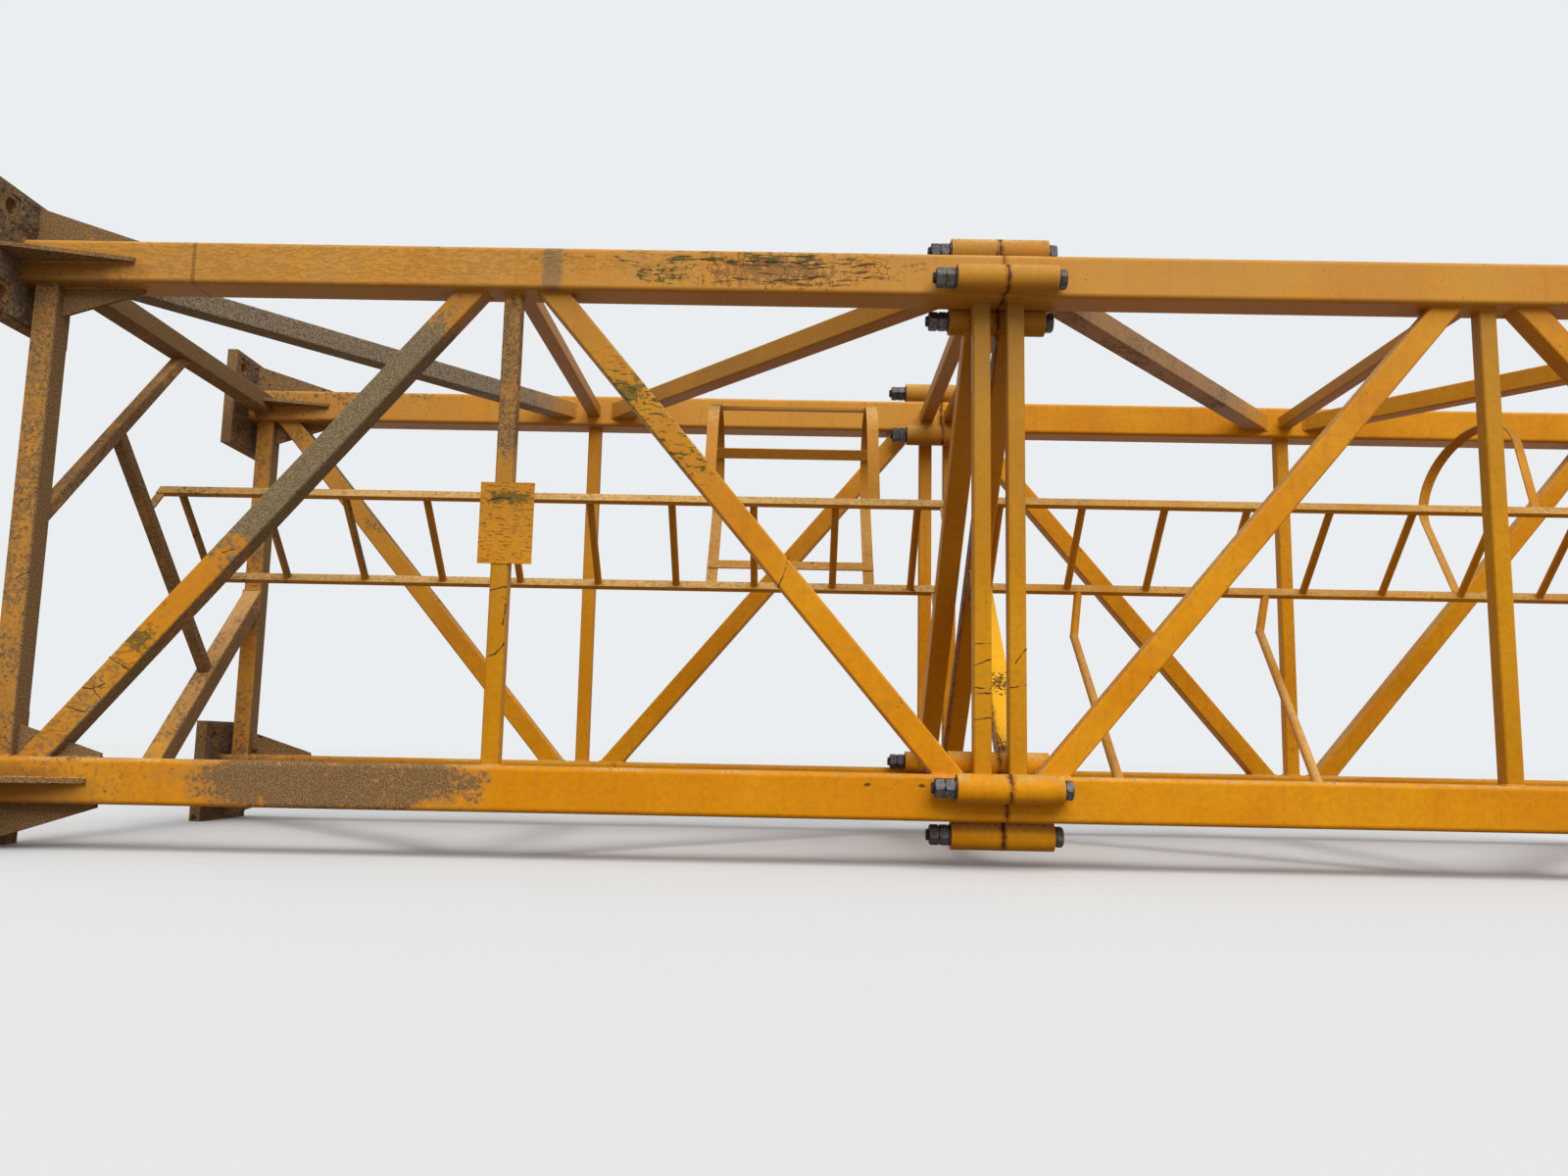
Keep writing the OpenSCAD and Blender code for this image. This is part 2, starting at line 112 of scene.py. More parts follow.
@dataclass(frozen=True)
class MastSizes:
    """Sizes and places of the CAD lattice in metres, along the mast from the joint and across from the axis."""

    # The joint's X and the axis's Z in the row frame
    joint_x: float = 0.030
    axis_z: float = 0.9275
    half_mast: float = 0.7375
    half_chord: float = 0.0625
    section: float = 2.8
    foot_face: float = -2.82
    foot_half: float = 0.19
    foot_hole: float = 0.128
    post_half: float = 0.025
    foot_post_half: float = 0.035
    diagonal_half: float = 0.035
    first_post: float = 0.0385
    last_post: float = 0.0585
    foot_post_x: float = -2.7565
    mid_x: float = 1.39
    apex_offset: float = 0.120
    end_offset: float = 0.095
    sleeve_radius: float = 0.040
    sleeve_length: float = 0.141
    sleeve_shift: float = 0.028
    inner_sleeve: float = 0.08668
    gusset_length: float = 0.330
    gusset_half: float = 0.006
    past_post: float = 0.0985
    knee_half: float = 0.020
    lower_knee_half: float = 0.035
    lower_knee_y: float = 0.0704
    brace_half: float = 0.035
    ladder_height: float = 0.120
    rung_reach: float = 0.175
    rung_radius: float = 0.013
    rung_pitch: float = 0.28
    # Each ladder's first rung, count of rungs, shift across and way along the mast
    ladders: tuple[tuple[float, int, float, int], ...] = ((-0.167, 10, -0.009, -1), (0.112, 10, -0.024, 1))
    # A sleeve's welds: over the chord's face, beside the sleeve's axis and short of its ends
    weld_rise: float = 0.0035
    weld_gap: float = 0.0165
    weld_short: float = 0.004
    # Where a diagonal's end interrupts the weld of the gusset inside
    gusset_break: tuple[float, float] = (0.112, 0.205)
    # How far the welds of the knee braces and the rungs are set into them
    knee_sunk: float = 0.0005
    rung_sunk: float = 0.001

    @property
    def inner(self) -> float:
        """Distance from the axis to the chord faces that look at each other."""
        return self.half_mast - self.half_chord

    def place(self, face: Face, x: float, y: float, z: float) -> Vector:
        """Turns a point given for the front face to another face.

        Args:
            face: The face to turn to.
            x: Distance along the mast from the joint.
            y: Distance behind the mast's axis, on the front face.
            z: Height over the mast's axis, on the front face.

        Returns:
            The point in the row frame.
        """
        for _ in range(face.value):
            y, z = -z, y
        return Vector((x + self.joint_x, y, z + self.axis_z))

    def on_chord(self, face: Face, x: float, y: float, z: float) -> Vector:
        """Turns a point as place() does, with Y and Z taken from the axis of the face's upper chord."""
        return self.place(face, x, y - self.half_mast, z + self.half_mast)


MAST = MastSizes()
ORIGIN = (0.0, 0.0, 0.0)
CORNERS = ((-1, -1), (1, -1), (1, 1), (-1, 1))
SOCKET_TYPES = {float: "Float", int: "Int", tuple: "Vector"}
WELD = {"Radius": 0.0042, "Step": 0.011, "Ripple": 0.0016}
RUNG_WELD = {"Radius": 0.0026, "Step": 0.007, "Ripple": 0.001}
CRACK = {"Radius": 0.0017, "Step": 0.004, "Wander": 0.009, "Ripple": 0.0, "Pitch": 60.0}


class Tree:
    """Adds and links the nodes of one node tree."""

    def __init__(self, tree: NodeTree) -> None:
        """Keeps the tree to build in."""
        self.tree = tree

    def add(self, kind: str, feeds: dict[str | int, Any] | None = None, **settings: Any) -> Node:
        """Adds a node.

        Args:
            kind: Blender's type name of the node.
            feeds: What goes into its inputs, by name or number: a socket, a node or a value.
            **settings: The node's own properties.

        Returns:
            The new node.
        """
        node = self.tree.nodes.new(kind)
        for name, value in settings.items():
            setattr(node, name, value)
        for key, value in (feeds or {}).items():
            self.feed(node.inputs[key], value)
        return node

    def feed(self, socket: Socket, value: Any) -> None:
        """Links a socket or a node's first output to an input, or sets a plain value.

        Args:
            socket: The input.
            value: A socket, a node or a plain value.
        """
        if isinstance(value, Node):
            value = value.outputs[0]
        if isinstance(value, Socket):
            self.tree.links.new(value, socket)
        else:
            socket.default_value = value

    def math(self, operation: str, first: Any, second: Any = 0.0, clamp: bool = False) -> Socket:
        """Adds a Math node with two inputs and returns its value, kept between 0 and 1 if clamp is set."""
        return self.add("ShaderNodeMath", {0: first, 1: second}, operation=operation, use_clamp=clamp).outputs[0]

    def times(self, first: Any, second: Any, clamp: bool = False) -> Socket:
        """Multiplies two values, as math() does."""
        return self.math("MULTIPLY", first, second, clamp)

    def plus(self, first: Any, second: Any, clamp: bool = False) -> Socket:
        """Adds two values, as math() does."""
        return self.math("ADD", first, second, clamp)

    def minus(self, first: Any, second: Any, clamp: bool = False) -> Socket:
        """Subtracts the second value from the first, as math() does."""
        return self.math("SUBTRACT", first, second, clamp)

    def vector(self, operation: str, first: Any, second: Any = ORIGIN) -> Node:
        """Adds a Vector Math node, whose first output is the resulting vector, and returns it."""
        return self.add("ShaderNodeVectorMath", {0: first, 1: second}, operation=operation)

    def scaled(self, vector: Any, amount: Any) -> Node:
        """Multiplies a vector by one value and returns the node."""
        return self.add("ShaderNodeVectorMath", {0: vector, 3: amount}, operation="SCALE")

    def ramp(self, value: Any, low: Any, high: Any, to_low: float = 0.0, to_high: float = 1.0) -> Socket:
        """Adds a smooth Map Range from low..high to to_low..to_high and returns its value."""
        feeds = {"Value": value, "From Min": low, "From Max": high, "To Min": to_low, "To Max": to_high}
        return self.add("ShaderNodeMapRange", feeds, interpolation_type="SMOOTHSTEP").outputs["Result"]

    def noise(self, vector: Any, scale: Any, detail: float = 3.0, rough: float = 0.55) -> Socket:
        """Adds a Noise Texture, with scale in features per metre, and returns its value of about 0.5."""
        feeds = {"Vector": vector, "Scale": scale, "Detail": detail, "Roughness": rough}
        return self.add("ShaderNodeTexNoise", feeds).outputs[0]

    def stretched(self, vector: Any, scale: Any) -> Node:
        """Scales coordinates by axis and returns the node."""
        return self.vector("MULTIPLY", vector, scale)

    def mix(self, factor: Any, first: Any, second: Any) -> Socket:
        """Adds a Mix and returns a colour: the first at a factor of 0, the second at 1."""
        return self.add("ShaderNodeMix", {"Factor": factor, 6: first, 7: second}, data_type="RGBA").outputs[2]

    def cover(self, color: Any, top: Any, mask: Any, amount: float) -> Socket:
        """Lays the top colour over a colour, as much as the amount where the mask is 1."""
        return self.mix(self.times(mask, amount), color, top)

    def group(self, tree: NodeTree, feeds: dict[str, Any]) -> Node:
        """Places a shader node group, with what goes into its named inputs."""
        return self.add("ShaderNodeGroup", feeds, node_tree=tree)

    def seen_by(self, *rays: str) -> Socket:
        """Adds a Light Path.

        Args:
            *rays: Kinds of rays, such as Camera.

        Returns:
            A socket that is 1 for rays of these kinds and 0 for others.
        """
        path = self.add("ShaderNodeLightPath")
        seen = path.outputs[f"Is {rays[0]} Ray"]
        for ray in rays[1:]:
            seen = self.math("MAXIMUM", seen, path.outputs[f"Is {ray} Ray"])
        return seen


def new_group(name: str, kind: str, inputs: dict[str, Any], outputs: dict[str, str]) -> tuple[Tree, Any, Any]:
    """Makes an empty node group with named sockets.

    Args:
        name: The group's name.
        kind: ShaderNodeTree or GeometryNodeTree.
        inputs: Each input's default, or its socket type as text if it has none.
        outputs: Each output's socket type.

    Returns:
        The tree, and by name the sockets of what it is given and of what it makes.
    """
    tree = bpy.data.node_groups.new(name, kind)
    for label, default in inputs.items():
        typed = default if isinstance(default, str) else SOCKET_TYPES[type(default)]
        socket = tree.interface.new_socket(label, in_out="INPUT", socket_type="NodeSocket" + typed)
        if default is not typed:
            socket.default_value = default
    for label, typed in outputs.items():
        tree.interface.new_socket(label, in_out="OUTPUT", socket_type="NodeSocket" + typed)
    helper = Tree(tree)
    return helper, helper.add("NodeGroupInput").outputs, helper.add("NodeGroupOutput").inputs


def new_material(name: str) -> tuple[Material, Tree]:
    """Makes a material without nodes.

    Args:
        name: The material's name.

    Returns:
        The material and its tree.
    """
    material = bpy.data.materials.new(name)
    material.use_nodes = True
    material.node_tree.nodes.clear()
    return material, Tree(material.node_tree)


class Effects:
    """The shader groups that the finishes share."""

    def __init__(self) -> None:
        """Builds every group once."""
        self.spot = self._spot()
        self.chips = self._chips()
        self.scrapes = self._scrapes()
        self.crust = self._crust()
        self.crackle = self._crackle()

    def _crackle(self) -> NodeTree:
        """A net of fine cracks in old paint.

        Returns:
            The group.
        """
        inputs = {"Vector": ORIGIN, "Scale": 40.0, "Width": 0.06}
        tree, given, made = new_group("paint crackle", "ShaderNodeTree", inputs, {"Mask": "Float"})
        drift = tree.noise(given["Vector"], 30.0)
        moved = tree.vector("ADD", given["Vector"], tree.stretched(drift, (0.03, 0.03, 0.03)))
        feeds = {"Vector": moved, "Scale": given["Scale"]}
        cells = tree.add("ShaderNodeTexVoronoi", feeds, feature="DISTANCE_TO_EDGE")
        edge = tree.ramp(cells.outputs["Distance"], given["Width"], 0.0)
        broken = tree.ramp(tree.noise(given["Vector"], 21.0), 0.42, 0.6)
        tree.feed(made["Mask"], tree.times(edge, broken))
        return tree.tree

    def _spot(self) -> NodeTree:
        """A soft, ragged spot round a centre.

        Returns:
            The group.
        """
        inputs = {"Vector": ORIGIN, "Center": ORIGIN, "Radii": (1.0, 1.0, 1.0), "Ragged": 0.5, "Grain": 18.0}
        tree, given, made = new_group("ragged spot", "ShaderNodeTree", inputs, {"Mask": "Float"})
        offset = tree.vector("DIVIDE", tree.vector("SUBTRACT", given["Vector"], given["Center"]), given["Radii"])
        distance = tree.vector("LENGTH", offset).outputs["Value"]
        noise = tree.noise(given["Vector"], given["Grain"], 4.0, 0.65)
        edge = tree.times(tree.minus(noise, 0.5), given["Ragged"])
        tree.feed(made["Mask"], tree.ramp(tree.plus(distance, tree.times(edge, 3.0)), 1.0, 0.55))
        return tree.tree

    def _chips(self) -> NodeTree:
        """Small chips in the paint, scattered by a noise.

        Returns:
            The group.
        """
        inputs = {"Vector": ORIGIN, "Scale": 40.0, "Amount": 0.3}
        tree, given, made = new_group("paint chips", "ShaderNodeTree", inputs, {"Mask": "Float", "Rim": "Float"})
        where = tree.noise(given["Vector"], tree.times(given["Scale"], 0.12), 2.0)
        shape = tree.noise(given["Vector"], given["Scale"], 3.0, 0.6)
        value = tree.plus(shape, tree.times(tree.minus(where, 0.5), 0.7))
        limit = tree.minus(0.86, tree.times(given["Amount"], 0.2))
        tree.feed(made["Mask"], tree.ramp(value, limit, tree.plus(limit, 0.025)))
        tree.feed(made["Rim"], tree.ramp(value, tree.minus(limit, 0.05), limit))
        return tree.tree

    def _scrapes(self) -> NodeTree:
        """Long scratches along the stretched direction.

        Returns:
            The group.
        """
        inputs = {"Vector": ORIGIN, "Stretch": (4.0, 60.0, 60.0), "Amount": 0.5}
        tree, given, made = new_group("scrapes", "ShaderNodeTree", inputs, {"Mask": "Float"})
        wobble = tree.noise(given["Vector"], 5.0, 2.0)
        moved = tree.vector("ADD", given["Vector"], tree.stretched(wobble, (0.0, 0.02, 0.05)))
        lines = tree.noise(tree.stretched(moved, given["Stretch"]), 1.0, 4.0, 0.6)
        limit = tree.minus(0.78, tree.times(given["Amount"], 0.22))
        tree.feed(made["Mask"], tree.ramp(lines, limit, tree.plus(limit, 0.04)))
        return tree.tree

    def _crust(self) -> NodeTree:
        """Grainy dried dust: how thick it is, its tone and its relief.

        Returns:
            The group.
        """
        inputs = {"Vector": ORIGIN, "Amount": 0.5, "Scale": 60.0}
        outputs = {"Mask": "Float", "Tone": "Float", "Height": "Float"}
        tree, given, made = new_group("dried dust", "ShaderNodeTree", inputs, outputs)
        broad = tree.noise(given["Vector"], tree.times(given["Scale"], 0.08))
        grains = tree.noise(given["Vector"], given["Scale"], 5.0, 0.7)
        depth = tree.plus(tree.times(broad, 0.9), tree.times(grains, 1.7))
        depth = tree.minus(depth, 0.8)
        reach = tree.minus(1.0, given["Amount"])
        mask = tree.ramp(depth, tree.minus(reach, 0.12), tree.plus(reach, 0.12))
        tree.feed(made["Mask"], mask)
        tree.feed(made["Tone"], grains)
        tree.feed(made["Height"], tree.times(mask, grains))
        return tree.tree


class Mark(Enum):
    """How a stain lies on the paint."""

    STAIN = "stain"
    SCRAPES = "scrapes"
    CRACKLE = "crackle"
    MUD = "mud"


@dataclass(frozen=True)
class Spot:
    """A stain at one place: where it is, how far it reaches, and its colour."""

    center: Point
    radii: Point
    color: Color = (0.0, 0.0, 0.0, 1.0)
    strength: float = 0.8
    ragged: float = 0.5
    grain: float = 18.0
    mark: Mark = Mark.STAIN
    stretch: Point = (4.0, 60.0, 60.0)
    amount: float = 0.75


@dataclass(frozen=True)
class Paint:
    """Weathered amber paint, with dust and a painted highlight on top, painted shade below, and rust that comes through
    it.
    """

    name: str
    color: Color = rgb(204, 129, 1)
    light: Color = rgb(214, 144, 10)
    film: Color = rgb(158, 116, 56)
    wash: Color = rgb(160, 112, 58)
    soil: Color = rgb(88, 64, 40)
    soil_pale: Color = rgb(150, 122, 86)
    # The grime colour, also used as painted shade on the undersides
    grime_and_shade: Color = rgb(92, 56, 26)
    # The pale colour of upward faces: dust, and a painted highlight there as well
    dust: Color = rgb(222, 186, 122)
    rust: Color = rgb(76, 42, 22)
    stain: Color = rgb(128, 70, 20)
    film_amount: float = 0.8
    soil_amount: float = 0.3
    side_soil: float = 0.45
    mud: float = 0.0
    dust_and_highlight_amount: float = 0.5
    chip_amount: float = 0.12
    streaks: float = 0.5
    spots: tuple[Spot, ...] = ()

    def _coat(self, tree: Tree, spot_at: Any, along: Any, height: Any, fine: Any) -> Any:
        """Lays the paint, with its uneven tone and a dull, paler film that grows on the higher members.

        Args:
            tree: The material's tree.
            spot_at: The coordinates.
            along: X.
            height: Z.
            fine: A fine noise.

        Returns:
            The colour.
        """
        color = tree.mix(tree.ramp(tree.noise(spot_at, 2.6, 4.0), 0.38, 0.66), self.color, self.light)
        color = tree.cover(color, self.grime_and_shade, tree.ramp(fine, 0.35, 0.75), 0.2)
        film = tree.ramp(tree.plus(height, tree.times(along, -0.16)), 0.6, 1.8)
        film = tree.times(film, self.film_amount)
        cloud = tree.ramp(tree.noise(spot_at, 5.0, 6.0, 0.65), 0.3, 0.62, 0.6, 1.0)
        speck = tree.ramp(tree.noise(spot_at, 140.0, 3.0, 0.7), 0.3, 0.7, 0.75, 1.1)
        return tree.mix(tree.times(tree.times(film, cloud), speck, True), color, self.film)

    def _marked(self, tree: Tree, effects: Effects, spot_at: Any, color: Any, relief: Any) -> tuple[Any, Any, Any]:
        """Adds the marks of single places.

        Args:
            tree: The material's tree.
            effects: The shared shader groups.
            spot_at: The coordinates.
            color: The colour below.
            relief: The relief below.

        Returns:
            The colour, the relief and how muddy each place is.
        """
        muddy = self.mud
        for spot in self.spots:
            feeds = {"Center": spot.center, "Radii": spot.radii, "Ragged": spot.ragged, "Grain": spot.grain}
            mask = tree.group(effects.spot, {"Vector": spot_at, **feeds}).outputs["Mask"]
            if spot.mark is Mark.MUD:
                muddy = tree.plus(muddy, tree.times(mask, spot.strength))
                continue
            if spot.mark is not Mark.STAIN:
                if spot.mark is Mark.SCRAPES:
                    kind, feeds = effects.scrapes, {"Amount": spot.amount, "Stretch": spot.stretch}
                else:
                    kind, feeds = effects.crackle, {"Scale": spot.grain * 3.0}
                lines = tree.group(kind, {"Vector": spot_at, **feeds})
                mask = tree.times(mask, lines.outputs["Mask"])
                relief = tree.minus(relief, mask)
            color = tree.cover(color, spot.color, mask, spot.strength)
        return color, relief, muddy

    def _chipped(self, tree: Tree, effects: Effects, spot_at: Any, color: Any, relief: Any) -> tuple[Any, Any]:
        """Adds small nicks and larger chips down to rusty steel.

        Args:
            tree: The material's tree.
            effects: The shared shader groups.
            spot_at: The coordinates.
            color: The colour below.
            relief: The relief below.

        Returns:
            The colour and the relief.
        """
        nicks = tree.group(effects.chips, {"Vector": spot_at, "Scale": 120.0, "Amount": 0.42})
        color = tree.cover(color, self.rust, nicks.outputs["Mask"], 0.8)
        chips = tree.group(effects.chips, {"Vector": spot_at, "Scale": 40.0, "Amount": self.chip_amount})
        color = tree.cover(color, self.grime_and_shade, chips.outputs["Rim"], 0.35)
        color = tree.cover(color, self.rust, chips.outputs["Mask"], 0.9)
        return color, tree.minus(relief, tree.times(chips.outputs["Mask"], 0.5))

    def build(self, effects: Effects) -> Material:
        """Builds the material.

        Args:
            effects: The shared shader groups.

        Returns:
            The material.
        """
        material, tree = new_material(self.name)
        spot_at = tree.add("ShaderNodeTexCoord").outputs["Object"]
        axes = tree.add("ShaderNodeSeparateXYZ", {0: spot_at})
        along, height = axes.outputs["X"], axes.outputs["Z"]
        outward = tree.add("ShaderNodeSeparateXYZ", {0: tree.add("ShaderNodeNewGeometry").outputs["Normal"]})
        upward = outward.outputs["Z"]
        level = tree.ramp(upward, 0.3, 0.8)
        below = tree.ramp(upward, -0.3, -0.85)
        upright = tree.minus(1.0, tree.plus(level, below, True), True)
        fine = tree.noise(spot_at, 55.0, 4.0, 0.65)
        color = self._coat(tree, spot_at, along, height, fine)

        # Brushed streaks along the mast, rain streaks on upright faces, and painted shade on the undersides
        brushed = tree.noise(tree.stretched(spot_at, (2.5, 90.0, 90.0)), 1.0)
        color = tree.mix(tree.ramp(brushed, 0.45, 0.75, 0.0, 0.28 * self.streaks), color, self.film)
        streak = tree.noise(tree.stretched(spot_at, (42.0, 42.0, 2.2)), 1.0)
        streak = tree.times(tree.ramp(streak, 0.55, 0.75), upright)
        color = tree.cover(color, self.grime_and_shade, streak, 0.22 * self.streaks)
        # Painted shade: the undersides get the grime colour laid over them, to look less lit
        color = tree.cover(color, self.grime_and_shade, below, 0.26)

        # Dust on upward faces, partly real dust and partly a painted highlight on the faces and edges that look up
        crust = tree.group(effects.crust, {"Vector": spot_at, "Amount": self.dust_and_highlight_amount})
        dust_and_highlight_mask = tree.times(crust.outputs["Mask"], level)
        tone = tree.mix(tree.ramp(crust.outputs["Tone"], 0.4, 0.7), self.dust, self.soil_pale)
        color = tree.cover(color, tone, dust_and_highlight_mask, 0.8)

        relief = tree.times(fine, 0.25)
        color, relief, muddy = self._marked(tree, effects, spot_at, color, relief)

        # Dried mud: most of it near the feet, with bare paint between the lumps
        near = tree.ramp(along, -1.35, -2.7)
        ahead = tree.ramp(outward.outputs["X"], 0.3, 0.8, self.soil_amount, self.soil_amount + self.side_soil)
        ahead = tree.times(ahead, tree.ramp(outward.outputs["X"], -0.8, -0.3, 0.42, 1.0))
        amount = tree.plus(tree.times(near, ahead), muddy)
        mud = tree.group(effects.crust, {"Vector": spot_at, "Amount": tree.times(amount, 1.25), "Scale": 75.0})
        shown = tree.times(mud.outputs["Mask"], tree.ramp(amount, 0.02, 0.2))
        grain = tree.ramp(tree.noise(spot_at, 230.0, 3.0, 0.7), 0.36, 0.64)
        color = tree.mix(tree.ramp(amount, 0.02, 0.45, 0.0, 0.75), color, self.wash)
        color = tree.cover(color, tree.mix(grain, self.soil, self.soil_pale), shown, 0.92)

        color, relief = self._chipped(tree, effects, spot_at, color, relief)

        # Rust at the joint between the sections
        gap = tree.math("ABSOLUTE", tree.minus(along, MAST.joint_x))
        ragged = tree.minus(tree.noise(spot_at, 38.0, 5.0, 0.7), 0.5)
        gap = tree.plus(gap, tree.times(ragged, 0.03))
        color = tree.cover(color, self.stain, tree.ramp(gap, 0.016, 0.004), 0.55)
        color = tree.cover(color, self.rust, tree.ramp(gap, 0.005, 0.001), 0.95)

        relief = tree.plus(relief, tree.times(tree.times(crust.outputs["Height"], level), 1.6))
        relief = tree.plus(relief, tree.times(tree.times(shown, grain), 1.2))
        rough = tree.plus(0.46, tree.times(tree.math("MAXIMUM", dust_and_highlight_mask, shown), 0.42), True)
        rough = tree.plus(rough, tree.times(fine, 0.12), True)
        bump = tree.add("ShaderNodeBump", {"Strength": 0.6, "Distance": 0.002, "Height": relief})
        feeds = {"Base Color": color, "Roughness": rough, "Normal": bump, "Specular IOR Level": 0.1}
        tree.add("ShaderNodeOutputMaterial", {"Surface": tree.add("ShaderNodeBsdfPrincipled", feeds)})
        return material


@dataclass(frozen=True)
class Coarse:
    """A rough, dull finish of two tones: soil, dust crust, rust or dark steel."""

    name: str
    dark: Color
    pale: Color
    scale: float = 60.0
    rough: float = 0.9
    metallic: float = 0.0
    relief: float = 0.0015
    tint: Color | None = None

    def build(self, effects: Effects) -> Material:
        """Builds the material.

        Args:
            effects: The shared shader groups.

        Returns:
            The material.
        """
        material, tree = new_material(self.name)
        spot_at = tree.add("ShaderNodeTexCoord").outputs["Object"]
        grain = tree.noise(spot_at, self.scale, 6.0, 0.7)
        broad = tree.noise(spot_at, self.scale * 0.15)
        color = tree.mix(tree.ramp(grain, 0.35, 0.65), self.dark, self.pale)
        color = tree.cover(color, self.dark, tree.ramp(broad, 0.4, 0.65), 0.5)
        if self.tint:
            patches = tree.group(effects.chips, {"Vector": spot_at, "Scale": self.scale, "Amount": 1.2})
            color = tree.cover(color, self.tint, patches.outputs["Rim"], 0.7)
        rough = tree.ramp(grain, 0.2, 0.8, self.rough - 0.1, min(self.rough + 0.08, 1.0))
        bump = tree.add("ShaderNodeBump", {"Strength": 0.8, "Distance": self.relief, "Height": grain})
        feeds = {"Base Color": color, "Roughness": rough, "Metallic": self.metallic, "Normal": bump}
        tree.add("ShaderNodeOutputMaterial", {"Surface": tree.add("ShaderNodeBsdfPrincipled", feeds)})
        return material


def linked(name: str, data: bpy.types.ID) -> Thing:
    """Makes an object of a mesh, camera or light and links it to the scene.

    Args:
        name: The object's name.
        data: Its data.

    Returns:
        The object.
    """
    thing = bpy.data.objects.new(name, data)
    bpy.context.scene.collection.objects.link(thing)
    return thing


def object_of(name: str, points: Sequence[Any], edges: Sequence[Any] = (), faces: Sequence[Any] = ()) -> Thing:
    """Makes a mesh object at the origin.

    Args:
        name: The object's name.
        points: Its points in the row frame.
        edges: Its loose edges.
        faces: Its faces.

    Returns:
        The linked object.
    """
    mesh = bpy.data.meshes.new(name)
    mesh.from_pydata([tuple(point) for point in points], list(edges), list(faces))
    mesh.update()
    return linked(name, mesh)


def grown(name: str, seed: Thing, tree: NodeTree, values: dict[str, Any]) -> Thing:
    """Runs a Geometry Nodes tree on an object and keeps the result as a plain mesh.

    Args:
        name: The new object's name.
        seed: The object that the tree starts from. It is removed.
        tree: The tree.
        values: Values of the tree's named inputs.

    Returns:
        The new object.
    """
    modifier = seed.modifiers.new("grow", "NODES")
    modifier.node_group = tree
    for item in tree.interface.items_tree:
        if item.in_out == "INPUT" and item.name in values:
            modifier[item.identifier] = values[item.name]
    graph = bpy.context.evaluated_depsgraph_get()
    mesh = bpy.data.meshes.new_from_object(seed.evaluated_get(graph), depsgraph=graph)
    mesh.name = name
    bpy.data.objects.remove(seed)
    return linked(name, mesh)


def settle(thing: Thing) -> None:
    """Lets a piece ride on the mast and logs its count of faces.

    Args:
        thing: The piece.
    """
    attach(thing, BODY)
    LOG.info("%s: %d faces", thing.name, len(thing.data.polygons))


